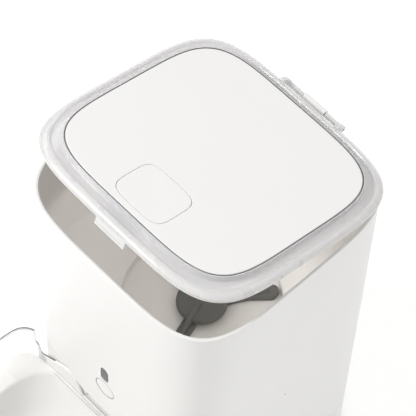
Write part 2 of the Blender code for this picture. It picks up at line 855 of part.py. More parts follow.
def rotor_shaft():
    """Steel shaft from the gearbox through the rotor into the stirrer's hub."""
    low = gearbox_top() - shaft_in_gearbox
    top = well_floor_height + rotor_clearance + stirrer_hub_height / 2 - gap
    return rod("rotor_shaft", shaft_radius, (0.0, 0.0, low), (0.0, 0.0, top), "steel", steps=round_steps)


def cup_ceiling():
    """Underside of the well's floor, which closes the dosing cup from above."""
    return well_floor_height - well_floor_thickness


def dosing_cup():
    """Round cup under the well. Food leaves through a window in the front of its floor."""
    outer = cup_inner_radius + cup_wall
    top = cup_ceiling() - gap
    bottom = cup_floor_height - cup_wall
    profile = [(outer, top), (outer, bottom), (shaft_hole_radius, bottom),
               (shaft_hole_radius, cup_floor_height), (cup_inner_radius, cup_floor_height),
               (cup_inner_radius, top)]
    cup = turned("dosing_cup", profile, "mechanism", (0.0, 0.0, 0.0), steps=outline_points, closed=True)
    cut(cup, prism("cup_window", sector(window_inner_radius, window_outer_radius, -90.0, window_half_angle),
                   bottom - overrun, cup_floor_height + overrun, along="Z"))
    return cup


def dosing_rotor():
    """Hub with six vanes that carries measured portions from the drop window to the chute."""
    bottom = cup_floor_height + rotor_clearance
    top = cup_ceiling() - rotor_clearance
    rotor = rod("dosing_rotor", rotor_hub_radius, (0.0, 0.0, bottom), (0.0, 0.0, top), "silicone",
                steps=round_steps)
    reach = cup_inner_radius - rotor_clearance
    for number in range(rotor_vanes // 2):
        vane = block(f"rotor_vane_{number}", (-reach, -rotor_vane / 2, bottom),
                     (reach, rotor_vane / 2, top))
        vane.rotation_euler = (0.0, 0.0, 2 * math.pi * (number + 1 / 2) / rotor_vanes)
        fuse(rotor, vane)
    cut(rotor, rod("rotor_bore", shaft_radius + shaft_gap, (0.0, 0.0, bottom - overrun),
                   (0.0, 0.0, top + overrun), steps=round_steps))
    return rotor


def gearbox_top():
    return cup_floor_height - cup_wall - gap


def gearmotor():
    """Bought gearbox and motor, closed units, hung under the dosing cup."""
    top = gearbox_top()
    case = block("gearbox_case", (-gearbox_half_width, -gearbox_front, top - gearbox_height),
                 (gearbox_half_width, gearbox_back, top), "mechanism", bevel=gearbox_round)
    cut(case, rod("gearbox_bore", shaft_radius + shaft_gap, (0.0, 0.0, top - shaft_in_gearbox - gap),
                  (0.0, 0.0, top + overrun), steps=round_steps))
    face = top - gearbox_height - gap
    profile = [(0.0, face), (motor_radius, face), (motor_radius, face - motor_length + gearbox_round),
               (motor_radius - gearbox_round, face - motor_length), (0.0, face - motor_length)]
    turned("motor_can", profile, "steel", (0.0, motor_offset, 0.0))


def outlet_chute():
    """Slide from the cup's window down to the outlet, open at both ends."""
    top = cup_floor_height - cup_wall - gap
    front = tower_wall - flat_front + gap
    low = outlet_bottom
    high = outlet_top
    outer = [(-chute_back, top), (-chute_back, top - chute_drop - chute_wall), (front, low - chute_wall),
             (front, high + chute_wall), (-chute_roof_start - chute_wall, top)]
    inner = [(-chute_back - chute_wall, top + overrun), (-chute_back - chute_wall, top - chute_drop),
             (front - overrun, low - overrun * chute_slope(top)), (front - overrun, high),
             (front, high), (-chute_roof_start, top - chute_wall), (-chute_roof_start, top + overrun)]
    width = outlet_half_width + chute_wall
    chute = prism("outlet_chute", outer, -width, width, "hopper")
    cut(chute, prism("chute_channel", inner, -outlet_half_width, outlet_half_width))
    return chute


def chute_slope(top):
    """Fall of the slide for each unit towards the front."""
    return (top - chute_drop - outlet_bottom) / (flat_front - tower_wall - gap - chute_back - chute_wall)


def control_board():
    """Main circuit board on the back wall, with a chip and a cable socket."""
    back = board_back() - gap
    front = back - board_thickness
    board = block("control_board", (-board_half_width, front, board_bottom),
                  (board_half_width, back, board_top), "board")
    middle = (board_bottom + board_top) / 2
    fuse(board, block("board_chip", (-chip_size / 2, front - chip_height, middle - chip_size / 2),
                      (chip_size / 2, front + board_thickness / 2, middle + chip_size / 2)))
    low = board_bottom + standoff_inset
    fuse(board, block("board_socket", (-socket_length / 2, front - socket_depth, low),
                      (socket_length / 2, front + board_thickness / 2, low + socket_height)))
    return board


def power_inlet():
    """Round power socket low in the back wall, with its centre pin."""
    profile = [(inlet_radius, 0.0), (inlet_radius, -inlet_length), (0.0, -inlet_length)]
    bore = [(inlet_bore_radius, 0.0), (inlet_bore_radius, -inlet_bore_depth),
            (inlet_pin_radius, -inlet_bore_depth), (inlet_pin_radius, -inlet_bore_depth / 4),
            (0.0, -inlet_bore_depth / 4)]
    outline = list(reversed(bore)) + profile
    made = turned("power_inlet", outline, "mechanism", (inlet_offset, tower_half_depth, inlet_height),
                  steps=small_steps)
    made.rotation_euler = (math.radians(-90.0), 0.0, 0.0)
    return made


def feed_button():
    """Round button in the front face, with a flange behind the wall and a stem for the switch."""
    face = button_proud
    wall_back = -tower_wall - gap
    profile = [(0.0, face), (button_radius - button_round, face), (button_radius, face - button_round),
               (button_radius, wall_back), (button_radius + button_flange, wall_back),
               (button_radius + button_flange, wall_back - button_flange_thickness),
               (button_radius - button_flange, wall_back - button_flange_thickness),
               (button_radius - button_flange, wall_back), (button_stem_radius, wall_back),
               (button_stem_radius, wall_back - button_depth), (0.0, wall_back - button_depth)]
    made = turned("feed_button", profile, "housing", (0.0, -tower_half_depth, button_height))
    made.rotation_euler = (math.radians(90.0), 0.0, 0.0)
    return made


def feed_switch():
    """Small board behind the button and the indicator, with the push switch."""
    front = switch_board_front()
    low, high = switch_board_heights()
    board = block("feed_switch", (-switch_board_half_width, front, low),
                  (switch_board_half_width, front + board_thickness, high), "board")
    body = front - switch_body_height
    fuse(board, block("switch_body", (-switch_half_size, body, button_height - switch_half_size),
                      (switch_half_size, front + board_thickness / 2, button_height + switch_half_size)))
    tip = tower_wall + gap + button_depth + button_travel + gap - tower_half_depth
    fuse(board, rod("switch_plunger", switch_plunger_radius, (0.0, tip, button_height),
                    (0.0, body + switch_body_height / 2, button_height)))
    led_tip = tower_wall + 2 * gap + indicator_flange_thickness - tower_half_depth
    half = indicator_half_width
    fuse(board, block("indicator_light", (-half / 2, led_tip + gap, indicator_height - half),
                      (half / 2, front + board_thickness / 2, indicator_height + half)))
    return board


def indicator_lens():
    """Smoked upright lens over the indicator light, flush with the front face."""
    face = gap - tower_half_depth
    back = tower_wall + gap - tower_half_depth
    end = back + indicator_flange_thickness
    outline = capsule(indicator_half_width, indicator_half_height, indicator_height)
    flange = capsule(indicator_half_width, indicator_half_height, indicator_height, indicator_flange)
    lens = prism("indicator_lens", outline, face, end, "smoked", along="Y")
    fuse(lens, prism("lens_flange", flange, back, end, along="Y"))
    return lens


def lid_ring(inset_x, inset_y, height):
    return squircle(lid_half_width - inset_x, lid_half_depth - inset_y, lid_power, height)


def plate_seat_ring(outset, height):
    """Outline of the cover plate's seat, outset from the plate's own edge."""
    return squircle(plate_half_width + outset, plate_half_depth + outset, lid_power, height)


def lid_frame():
    """Clear lid moulding: a leaning side, a thin crest, a moat, and the plate's deck in a low ridge."""
    rib_x, rib_y = lid_rib_half_width, lid_rib_half_depth
    under = lid_moat_height - lid_deck
    rib = [
        squircle(rib_x - lid_rib_wall, rib_y - lid_rib_wall, lid_power, under),
        squircle(rib_x - lid_rib_wall, rib_y - lid_rib_wall, lid_power, -lid_rib_depth),
        squircle(rib_x, rib_y, lid_power, -lid_rib_depth),
        squircle(rib_x, rib_y, lid_power, lid_gasket_height),
    ]
    crest_x, crest_y = lid_crest_inset_x, lid_crest_inset_y
    half = lid_crest_half
    side = [
        lid_ring(0.0, 0.0, lid_gasket_height),
        lid_ring(0.0, 0.0, lid_side_height),
        lid_ring(crest_x / 3, crest_y / 3, (lid_side_height + lid_crest_height) / 2),
        lid_ring(crest_x - half, crest_y - half, lid_crest_height - half / 3),
        lid_ring(crest_x, crest_y, lid_crest_height),
        lid_ring(crest_x + half, crest_y + half, lid_crest_height - half / 3),
        lid_ring(crest_x + 2 * half, crest_y + 2 * half, lid_moat_height + gap),
        plate_seat_ring(gap + plate_ridge_wall, lid_moat_height),
        plate_seat_ring(gap + plate_ridge_wall, lid_moat_height + plate_ridge_height),
        plate_seat_ring(gap, lid_moat_height + plate_ridge_height),
        plate_seat_ring(gap, lid_moat_height),
    ]
    frame = stack("lid_frame", rib + side, "clear", on_lid)
    notch = latch_half_width + gap
    cut(frame, block("latch_notch", (-notch, -rib_y - overrun, -lid_rib_depth - overrun),
                     (notch, lid_rib_wall - rib_y + overrun / 2, lid_gasket_height), None, on_lid))
    cut(frame, block("stem_hole", (-stem_half_width - gap, -stem_front - gap, under - overrun),
                     (stem_half_width + gap, gap - stem_back, lid_moat_height + overrun), None, on_lid))
    axis_y, axis_z = hinge_axis_y, -lid_rise
    radius = yoke_barrel_radius
    root = lid_half_depth - 2 * lid_crest_half
    clear_of_wall = tower_half_depth + gap
    arm = [(root, lid_gasket_height), (root, lid_crest_height - lid_crest_half),
           (clear_of_wall, lid_crest_height - lid_crest_half), (axis_y + radius, axis_z + radius),
           (axis_y + radius, axis_z - radius / 2), (axis_y + radius / 2, axis_z - radius),
           (axis_y - radius / 2, axis_z - radius), (axis_y - radius, axis_z - radius / 2),
           (clear_of_wall, lid_gasket_height)]
    for side_sign in (-1, 1):
        ends = sorted((side_sign * (yoke_outer - yoke_arm), side_sign * yoke_outer))
        fuse(frame, prism(f"yoke_arm_{side_sign}", arm, ends[0], ends[1], None, on_lid))
        fuse(frame, rod(f"yoke_barrel_{side_sign}", radius, (side_sign * yoke_inner, axis_y, axis_z),
                        (side_sign * (yoke_outer - gap), axis_y, axis_z), None, on_lid))
        cut(frame, rod(f"yoke_bore_{side_sign}", hinge_bore_radius,
                       (side_sign * (yoke_inner - overrun), axis_y, axis_z),
                       (side_sign * (yoke_outer + overrun), axis_y, axis_z), None, on_lid))
    return frame


def hinge_pin():
    reach = yoke_outer - gap
    return rod("hinge_pin", hinge_pin_radius, (-reach, hinge_axis_y, -lid_rise),
               (reach, hinge_axis_y, -lid_rise), "steel", on_lid)


def lid_gasket():
    """Silicone ring under the lid's edge that closes on the rim."""
    top = lid_gasket_height - gap
    low = -gasket_hang
    outside = [lid_ring(gasket_inset, gasket_inset, height) for height in (low, top)]
    inside = [lid_ring(gasket_width_x, gasket_width_y, height) for height in (low - overrun, top + overrun)]
    shape = stack("lid_gasket", outside, "silicone", on_lid)
    cut(shape, stack("gasket_inside", inside, None, on_lid))
    return shape


def lid_plate():
    """White cover plate on the clear deck, with the button's opening. Its face is plain."""
    inner_x, inner_y = plate_half_width - plate_wall, plate_half_depth - plate_wall
    low = lid_moat_height + gap
    under = plate_height - plate_wall
    soft = plate_round / 3
    rings = [
        squircle(inner_x, inner_y, lid_power, under),
        squircle(inner_x, inner_y, lid_power, low),
        squircle(plate_half_width, plate_half_depth, lid_power, low),
        squircle(plate_half_width, plate_half_depth, lid_power, plate_height - plate_round),
        squircle(plate_half_width - soft, plate_half_depth - soft, lid_power, plate_height - soft),
        squircle(plate_half_width - plate_round, plate_half_depth - plate_round, lid_power, plate_height),
    ]
    plate = stack("lid_plate", rings, "housing", on_lid)
    opening = [squircle(lid_button_half_width + lid_button_gap, lid_button_half_depth + lid_button_gap,
                        lid_button_power, height, -lid_button_centre, small_outline_points)
               for height in (under - overrun, plate_height + overrun)]
    cut(plate, stack("button_window", opening, None, on_lid))
    top = plate_height - plate_wall / 2
    for side_x in (-1, 1):
        for side_y in (-1, 1):
            x = side_x * (plate_half_width - plate_boss_inset)
            y = side_y * (plate_half_depth - plate_boss_inset)
            name = f"plate_boss_{side_x}_{side_y}"
            fuse(plate, rod(name, plate_boss_radius, (x, y, low), (x, y, top), None, on_lid))
    return plate


def lid_button():
    """Rounded square push button in the plate. The wedge on its stem draws the latch back."""
    low = plate_height - plate_wall - gap - lid_button_flange_thickness
    grow = lid_button_flange
    half_x, half_y = lid_button_half_width, lid_button_half_depth

    def ring(offset, height):
        return squircle(half_x + offset, half_y + offset, lid_button_power, height, -lid_button_centre,
                        small_outline_points)

    soft = lid_button_dish
    rings = [ring(grow, low), ring(grow, low + lid_button_flange_thickness),
             ring(0.0, low + lid_button_flange_thickness), ring(0.0, plate_height - soft),
             ring(-soft, plate_height), ring(-4 * soft, plate_height),
             ring(-half_y / 2, plate_height - soft)]
    button = stack("lid_button", rings, "housing", on_lid)
    tip = lid_moat_height - stem_drop - gap
    slope_top = tip + (stem_front - stem_back) - wedge_land()
    outline = [(-stem_front, low + lid_button_flange_thickness / 2), (-stem_front, tip),
               (-stem_front + wedge_land(), tip), (-stem_back, slope_top),
               (-stem_back, low + lid_button_flange_thickness / 2)]
    fuse(button, prism("button_stem", outline, -stem_half_width, stem_half_width, None, on_lid))
    return button


def wedge_land():
    """Flat width left at the tip of the stem, so that the rest of its back face is a 45 degree wedge."""
    return latch_thickness


def latch_top():
    return lid_gasket_height - latch_top_gap


def latch_slider():
    """Sliding latch under the deck, with the tongue that hangs behind the front wall."""
    top = latch_top()
    bottom = top - latch_thickness
    half = latch_half_width
    slider = block("latch_slider", (-half, -tongue_face, bottom), (half, -latch_back, top), "clear", on_lid)
    fuse(slider, block("latch_tongue", (-half, -tongue_face, -tongue_depth),
                       (half, tongue_thickness - tongue_face, top - latch_thickness / 2), None, on_lid))
    nose_top = tongue_nose_height - tongue_depth
    fuse(slider, block("latch_nose", (-half, -tongue_face - tongue_nose, -tongue_depth),
                       (half, tongue_thickness / 2 - tongue_face, nose_top), None, on_lid))
    tip = lid_moat_height - stem_drop - gap
    land = -stem_front + wedge_land() + gap * math.sqrt(2)
    reach = stem_half_width + latch_window_margin
    low, high = bottom - overrun, top + overrun
    outline = [(-latch_window_front, low), (-latch_window_front, high), (land + high - tip, high),
               (land + low - tip, low)]
    cut(slider, prism("latch_window", outline, -reach, reach, None, on_lid))
    return slider


def latch_bracket():
    """Channel under the deck that the latch slides in, with a wall behind for its spring."""
    floor = latch_top() - latch_thickness - gap
    top = lid_moat_height - lid_deck - gap
    half = latch_half_width + gap
    bracket = block("latch_bracket", (-half - bracket_wall, -bracket_front, floor - bracket_floor),
                    (half + bracket_wall, -bracket_back, top), "housing", on_lid)
    cut(bracket, block("bracket_channel", (-half, -bracket_front - overrun, floor),
                       (half, -bracket_back - bracket_wall, top + overrun), None, on_lid))
    low = floor - bracket_floor - overrun
    reach = stem_half_width + latch_window_margin
    cut(bracket, block("bracket_stem_hole", (-reach, -latch_window_front, low),
                       (reach, -latch_back, floor + overrun), None, on_lid))
    cut(bracket, block("spring_groove",
                       (-spring_groove_half, -latch_back - overrun, floor - bracket_floor / 2),
                       (spring_groove_half, -bracket_back - bracket_wall, floor + overrun), None, on_lid))
    return bracket


def latch_spring():
    """Coil spring behind the latch, drawn at the length that it has with the latch pulled back."""
    start = lid_button_travel + gap - latch_back
    end = -bracket_back - bracket_wall - gap - spring_wire_radius
    start += spring_wire_radius
    middle = latch_top() - latch_thickness / 2
    count = spring_turns * spring_points
    curve = bpy.data.curves.new("latch_spring", "CURVE")
    curve.dimensions = "3D"
    curve.bevel_depth = spring_wire_radius
    curve.bevel_resolution = 1
    curve.use_fill_caps = True
    line = curve.splines.new("POLY")
    line.points.add(count)
    for step in range(count + 1):
        turn = 2 * math.pi * step / spring_points
        along = start + (end - start) * step / count
        across, up = spring_radius * math.cos(turn), spring_radius * math.sin(turn)
        line.points[step].co = (across, along, middle + up, 1.0)
    wire = bpy.data.objects.new("latch_spring_wire", curve)
    cutters.objects.link(wire)
    bpy.context.view_layer.update()
    mesh = bpy.data.meshes.new_from_object(wire.evaluated_get(bpy.context.evaluated_depsgraph_get()))
    bpy.data.objects.remove(wire)
    shape = bmesh.new()
    shape.from_mesh(mesh)
    bmesh.ops.remove_doubles(shape, verts=shape.verts, dist=merge_distance)
    return finished("latch_spring", shape, "steel", on_lid)


def desiccant():
    """Box for a drying pack under the lid, with a slotted door on stub pins."""
    top = lid_moat_height - lid_deck - gap
    bottom = top - desiccant_depth
    half_x, half_y, wall = desiccant_half_width, desiccant_half_depth, desiccant_wall

    def ring(inset, height):
        return squircle(half_x - inset, half_y - inset, desiccant_power, height, desiccant_centre,
                        small_outline_points)

    rings = [ring(wall, top - wall), ring(wall, bottom), ring(0.0, bottom), ring(0.0, top)]
    box = stack("desiccant_box", rings, "housing", on_lid)
    axis_y = desiccant_centre + half_y + desiccant_pin_offset
    axis_z = bottom
    radius = desiccant_knuckle_radius
    root = axis_y - desiccant_pin_offset - wall / 2
    lug = [(root, axis_z + 2 * radius), (axis_y + radius, axis_z + radius),
           (axis_y + radius, axis_z - radius), (axis_y - radius, axis_z - radius),
           (axis_y - radius, axis_z), (root, axis_z)]
    half = desiccant_lug_half
    fuse(box, prism("desiccant_lug", lug, -half, half, None, on_lid))
    for side in (-1, 1):
        start, end = side * (half + overrun), side * (half - desiccant_stub - gap)
        cut(box, rod(f"desiccant_bore_{side}", desiccant_pin_radius + gap, (start, axis_y, axis_z),
                     (end, axis_y, axis_z), None, on_lid))

    pack_x, pack_y = half_x - wall - pack_margin, half_y - wall - pack_margin
    middle = bottom + pack_half_height
    rings = []
    for share in (-1.0, -0.8, 0.0, 0.8, 1.0):
        swell = (math.sqrt(1.0 - share * share) - 1.0) * pack_margin
        rings.append(squircle(pack_x + swell, pack_y + swell, desiccant_power,
                              middle + share * pack_half_height, desiccant_centre, small_outline_points))
    stack("desiccant_pack", rings, "paper", on_lid)

    door_axis = empty("desiccant_door_axis", on_lid[1] + Vector((0.0, axis_y, axis_z)), lid_axis)
    on_door = (door_axis, Vector((0.0, -axis_y, -axis_z)))
    face = bottom - gap
    thick = desiccant_door_thickness
    door = stack("desiccant_door", [ring(0.0, face - thick), ring(0.0, face)], "housing", on_door)
    for number in range(desiccant_slots):
        y = desiccant_centre + (number - (desiccant_slots - 1) / 2) * desiccant_slot_pitch
        near, far = y - desiccant_slot_half_width, y + desiccant_slot_half_width
        cut(door, block(f"door_slot_{number}", (-desiccant_slot_half_length, near, face - thick - overrun),
                        (desiccant_slot_half_length, far, face + overrun), None, on_door))
    cut(door, block("door_lug_notch", (-half - gap, axis_y - radius - gap - radius, face - thick - overrun),
                    (half + gap, axis_y + overrun, face + overrun), None, on_door))
    inner = half + gap
    outer = inner + desiccant_ear
    for side in (-1, 1):
        root = axis_y - desiccant_pin_offset - radius
        ear = [(root, face), (root, face - thick), (axis_y + radius, face - thick),
               (axis_y + radius, axis_z + radius), (axis_y - radius, axis_z + radius),
               (axis_y - radius, face)]
        ends = sorted((side * inner, side * outer))
        fuse(door, prism(f"door_ear_{side}", ear, ends[0], ends[1], None, on_door))
        start, end = side * (inner + desiccant_ear / 2), side * (half - desiccant_stub)
        fuse(door, rod(f"door_stub_{side}", desiccant_pin_radius, (start, axis_y, axis_z),
                       (end, axis_y, axis_z), None, on_door))


def guard_ring(inset, height_of):
    """Outline of the guard: a rounded front and tight back corners. height_of gives each point's height."""
    ring = squircle(guard_half_width - inset, guard_front - guard_middle - inset, guard_front_power, 0.0,
                    -guard_middle, back_power=guard_back_power, half_back=guard_middle - guard_back - inset)
    return [Vector((point.x, point.y, height_of(point))) for point in ring]


def guard_edge(point):
    """Height of the guard's top edge: high wings, a step down at the tower, a sweep to the front."""
    step = smooth_step(abs(point.x), guard_step_start, guard_step_end)
    behind = guard_back_height + (guard_wing_height - guard_back_height) * step
    sweep = smooth_step(point.y, -guard_sweep_end, -guard_sweep_start)
    along = guard_front_height + (guard_wing_height - guard_front_height) * sweep
    return min(behind, along) if point.y > -guard_middle and abs(point.x) < guard_step_end else along


def bowl_guard():
    """Clear tray that the bowl stands in. Its raised wings keep food off the floor."""
    floor = guard_bottom + guard_floor
    soft = guard_bottom_round
    rings = [
        guard_ring(soft, lambda point: guard_bottom),
        guard_ring(0.0, lambda point: guard_bottom + soft),
        guard_ring(0.0, guard_edge),
        guard_ring(guard_wall, guard_edge),
        guard_ring(guard_wall, lambda point: floor + soft),
        guard_ring(guard_wall + soft, lambda point: floor),
    ]
    guard = stack("bowl_guard", rings, "clear")
    half, wide = guard_notch_half, guard_notch_half + guard_notch_slope
    over = guard_back_height + overrun
    outline = [(-half, guard_notch_height), (half, guard_notch_height), (wide, over), (-wide, over)]
    near = guard_back + guard_wall + overrun
    cut(guard, prism("guard_notch", outline, -near, overrun - guard_back, along="Y"))
    return guard


def food_bowl():
    """Bowl with a wide flange that fills the guard, a rounded cavity and a flat leaning back wall."""
    floor = guard_bottom + guard_floor
    rim = bowl_rim_height
    top_inset = guard_wall + bowl_side_gap

    def cavity_rings(offset, drop, shares):
        rings = []
        for across, along, down, power in shares:
            depth = bowl_depth * down
            limit = -bowl_back - bowl_back_lean * depth + offset
            ring = squircle(bowl_half_width * across + offset, bowl_half_depth * along + offset, power,
                            rim - depth - drop, -bowl_middle)
            rings.append([Vector((point.x, min(point.y, limit), point.z)) for point in ring])
        return rings

    inside = cavity_rings(0.0, 0.0, bowl_cavity_shares)
    outside = cavity_rings(bowl_wall, bowl_wall, bowl_cavity_shares[::2])
    flange = [
        guard_ring(top_inset, lambda point: rim - bowl_wall),
        guard_ring(top_inset, lambda point: rim - bowl_wall / 3),
        guard_ring(top_inset + bowl_wall / 3, lambda point: rim),
    ]
    bowl = stack("food_bowl", list(reversed(outside)) + flange + inside, "bowl")
    across, along, down, power = bowl_cavity_shares[-1]
    half_x, half_y = bowl_half_width * across, bowl_half_depth * along
    bottom, top = floor + gap, rim - bowl_depth - bowl_wall / 2

    def foot_rings(inset, lengthen):
        return [squircle(half_x - inset, half_y - inset, power, height, -bowl_middle, small_outline_points)
                for height in (bottom - lengthen, top + lengthen)]

    foot = stack("bowl_foot_ring", foot_rings(0.0, 0.0), None)
    cut(foot, stack("bowl_foot_inside", foot_rings(bowl_wall, overrun), None))
    fuse(bowl, foot)
    return bowl


def main():
    tower_housing()
    base_pan()
    base_cover()
    feet()
    hopper_funnel()
    stirrer()
    rotor_shaft()
    dosing_cup()
    dosing_rotor()
    gearmotor()
    outlet_chute()
    control_board()
    power_inlet()
    feed_button()
    feed_switch()
    indicator_lens()
    lid_frame()
    hinge_pin()
    lid_gasket()
    lid_plate()
    lid_button()
    latch_slider()
    latch_bracket()
    latch_spring()
    desiccant()
    bowl_guard()
    food_bowl()
    even_normals()


main()
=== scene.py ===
# %% [markdown]
# # A smart pet feeder, dressed in Blender
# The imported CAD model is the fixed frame: it holds every size, joint and collision shape. This lesson adds what the
# eye wants on top of it: finely rounded mouldings, clear plastic, and finishes worked out from the real materials.
# Sizes are in millimetres here and are turned to metres once, where a mesh is made.

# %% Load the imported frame
import math

import bpy
import numpy as np
from mathutils import Matrix, Vector


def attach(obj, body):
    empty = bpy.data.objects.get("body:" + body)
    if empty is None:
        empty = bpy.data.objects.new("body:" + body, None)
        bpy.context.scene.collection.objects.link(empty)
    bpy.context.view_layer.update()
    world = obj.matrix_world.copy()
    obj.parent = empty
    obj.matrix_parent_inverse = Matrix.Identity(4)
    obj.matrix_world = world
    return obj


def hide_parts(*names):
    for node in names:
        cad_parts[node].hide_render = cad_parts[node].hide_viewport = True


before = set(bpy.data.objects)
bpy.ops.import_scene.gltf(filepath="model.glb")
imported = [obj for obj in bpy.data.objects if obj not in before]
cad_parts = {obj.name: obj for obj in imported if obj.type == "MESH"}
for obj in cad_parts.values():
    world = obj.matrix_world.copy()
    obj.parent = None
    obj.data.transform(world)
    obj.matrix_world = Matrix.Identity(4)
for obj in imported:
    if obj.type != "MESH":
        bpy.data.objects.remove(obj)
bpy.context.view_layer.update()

# %% [markdown]
# ## Where things are
# The tower's axis is the stirrer's axis. The lid is modelled flat, in its own coordinates: x across, y to the back
# and h over its base plane. It is then turned open about the hinge, so its pieces can be worked out as if it lay shut.

# %% Places and sizes shared by many pieces
MM = 0.001
AXIS_Y = 58.6  # the tower's axis lies this far behind the middle of the whole feeder
RIM = 312.0  # top of the tower
HINGE_Y, HINGE_DROP = 96.5, 1.9  # the hinge axis: behind the tower's axis and under the rim
LID_RISE = HINGE_DROP + 0.6  # shut, the lid's base plane lies 0.6 over the rim, and the gasket in that gap
LID_OPEN = math.radians(-14.0)
GAP = 0.3  # fitting gap between two mouldings


def on_tower(points):
    """Tower coordinates to world: only the tower's axis is moved back."""
    moved = np.array(points, dtype=float)
    moved[..., 1] += AXIS_Y
    return moved


def on_lid(points):
    """Lid coordinates to world: y and h are turned about the hinge axis by the open angle."""
    flat = np.array(points, dtype=float)
    back = flat[..., 1] - HINGE_Y
    up = flat[..., 2] + LID_RISE
    turned = flat.copy()
    turned[..., 1] = AXIS_Y + HINGE_Y + back * math.cos(LID_OPEN) - up * math.sin(LID_OPEN)
    turned[..., 2] = RIM - HINGE_DROP + back * math.sin(LID_OPEN) + up * math.cos(LID_OPEN)
    return turned


def off_lid(points):
    """World to lid coordinates, the inverse of on_lid."""
    back, up = points[:, 1] - AXIS_Y - HINGE_Y, points[:, 2] - RIM + HINGE_DROP
    flat = points.copy()
    flat[:, 1] = HINGE_Y + back * math.cos(LID_OPEN) + up * math.sin(LID_OPEN)
    flat[:, 2] = -LID_RISE - back * math.sin(LID_OPEN) + up * math.cos(LID_OPEN)
    return flat


# %% [markdown]
# ## From arrays to meshes
# Most pieces are skins over rings: a grid of points whose rows are closed outlines. The faces follow from the row and
# column numbers alone, so numpy can write them all at once. A closed skin must have a positive volume, and one that
# comes out negative is turned the right way round. Where one moulding has two finishes, its faces are chosen by place.

# %% Mesh helpers
def grid_faces(rows, columns, close_rows=False):
    """Quads between neighbouring rows of a grid whose columns wrap round, and whose rows may wrap too."""
    row = np.arange(rows if close_rows else rows - 1)[:, None]
    column = np.arange(columns)[None, :]
    here, there = row * columns, ((row + 1) % rows) * columns
    after = (column + 1) % columns
    return np.stack([here + column, here + after, there + after, there + column], axis=-1).reshape(-1, 4)


def skin(rings, close_rows=False):
    """Points and faces of a skin over rings. An open stack of rings is capped by a fan at either end."""
    rings = np.asarray(rings, dtype=float)
    rows, columns = rings.shape[:2]
    points = rings.reshape(-1, 3)
    faces = grid_faces(rows, columns, close_rows).tolist()
    if not close_rows:
        first, last = rings[0].mean(axis=0), rings[-1].mean(axis=0)
        points = np.vstack([points, first, last])
        around = np.arange(columns)
        after = (around + 1) % columns
        ends = len(points) - 2
        low = np.stack([after, around, np.full(columns, ends)], axis=-1)
        high_row = (rows - 1) * columns
        high = np.stack([high_row + around, high_row + after, np.full(columns, ends + 1)], axis=-1)
        faces += low.tolist() + high.tolist()
    return points, faces


def volume(points, faces):
    """Signed volume of a closed skin: the sum over its triangles of the box product of their corners, over six."""
    fans = np.array([(f[0], f[k], f[k + 1]) for f in faces for k in range(1, len(f) - 1)])
    a, b, c = points[fans[:, 0]], points[fans[:, 1]], points[fans[:, 2]]
    return float(np.einsum("ij,ij->i", a, np.cross(b, c)).sum() / 6)


def bare_mesh(name, skins, place=on_tower, sharp=35.0):
    """One object from one or more closed skins, in metres, smooth but for edges sharper than sharp degrees."""
    all_points, all_faces, start = [], [], 0
    for points, faces in skins:
        points = place(points) * MM
        if volume(points, faces) < 0:
            faces = [face[::-1] for face in faces]
        all_points.append(points)
        all_faces += [[start + index for index in face] for face in faces]
        start += len(points)
    mesh = bpy.data.meshes.new(name)
    mesh.from_pydata(np.vstack(all_points).tolist(), [], all_faces)
    mesh.shade_smooth()
    mesh.set_sharp_from_angle(angle=math.radians(sharp))
    made = bpy.data.objects.new(name, mesh)
    bpy.context.scene.collection.objects.link(made)
    return made


def baked(target, tools, operation, sharp=35.0):
    """Applies one exact Boolean per tool to target and removes the tools. Its flat faces keep flat shading."""
    for tool in tools:
        step = target.modifiers.new(tool.name, "BOOLEAN")
        step.object = tool
        step.operation = operation
        step.solver = "EXACT"
    bpy.context.view_layer.update()
    solid = bpy.data.meshes.new_from_object(target.evaluated_get(bpy.context.evaluated_depsgraph_get()))
    target.modifiers.clear()
    target.data = solid
    solid.shade_smooth()
    solid.set_sharp_from_angle(angle=math.radians(sharp))
    for tool in tools:
        bpy.data.objects.remove(tool)
    return target


def dress(made, finish, body, slot, *nodes):
    """Gives a piece its finish and the body it rides on, and hides the CAD nodes it stands for. The slot argument is
    not used.
    """
    made.data.materials.clear()
    made.data.materials.append(finish)
    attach(made, body)
    if nodes:
        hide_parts(*nodes)
    print(f"{made.name}: {len(made.data.polygons)} faces, on {body}, stands for {list(nodes)}")
    return made


def second_finish(piece, finish, chosen):
    """Gives the faces whose centres, in world millimetres, are chosen a second finish."""
    centres = np.empty(3 * len(piece.data.polygons))
    piece.data.polygons.foreach_get("center", centres)
    faces = chosen(centres.reshape(-1, 3) / MM)
    index = np.empty(len(faces), dtype=np.int32)
    piece.data.polygons.foreach_get("material_index", index)
    index[faces] = len(piece.data.materials)
    piece.data.materials.append(finish)
    piece.data.polygons.foreach_set("material_index", index)
    print(piece.name, finish.name, int(faces.sum()), "of", len(faces), "faces")


# %% [markdown]
# ## Outlines and profiles
# The tower, its lid and its tray are superellipses, the squircle of many small appliances: |x/a|^p + |y/b|^p = 1.
# A corner is sharp where p is high and round where it is low. The points are spread by length along the curve, so
# that a tight corner gets as fine a skin as a straight side. Profiles are drawn as a few corners, and each corner is
# then rounded by a quadratic curve, as a fillet is in a moulding tool.

# %% Outlines and profiles
AROUND = 320


def quarter(half_x, half_y, power, count):
    """A quarter of a superellipse from its +X point to its +Y point, count steps of even length."""
    knee = 0.5 ** (1 / power)
    share = knee * np.linspace(0.0, 1.0, 400)
    other = (1.0 - share ** power) ** (1 / power)
    x = half_x * np.concatenate([other, share[-2::-1]])
    y = half_y * np.concatenate([share, other[-2::-1]])
    length = np.concatenate([[0.0], np.cumsum(np.hypot(np.diff(x), np.diff(y)))])
    even = np.linspace(0.0, length[-1], count + 1)
    return np.interp(even, length, x), np.interp(even, length, y)


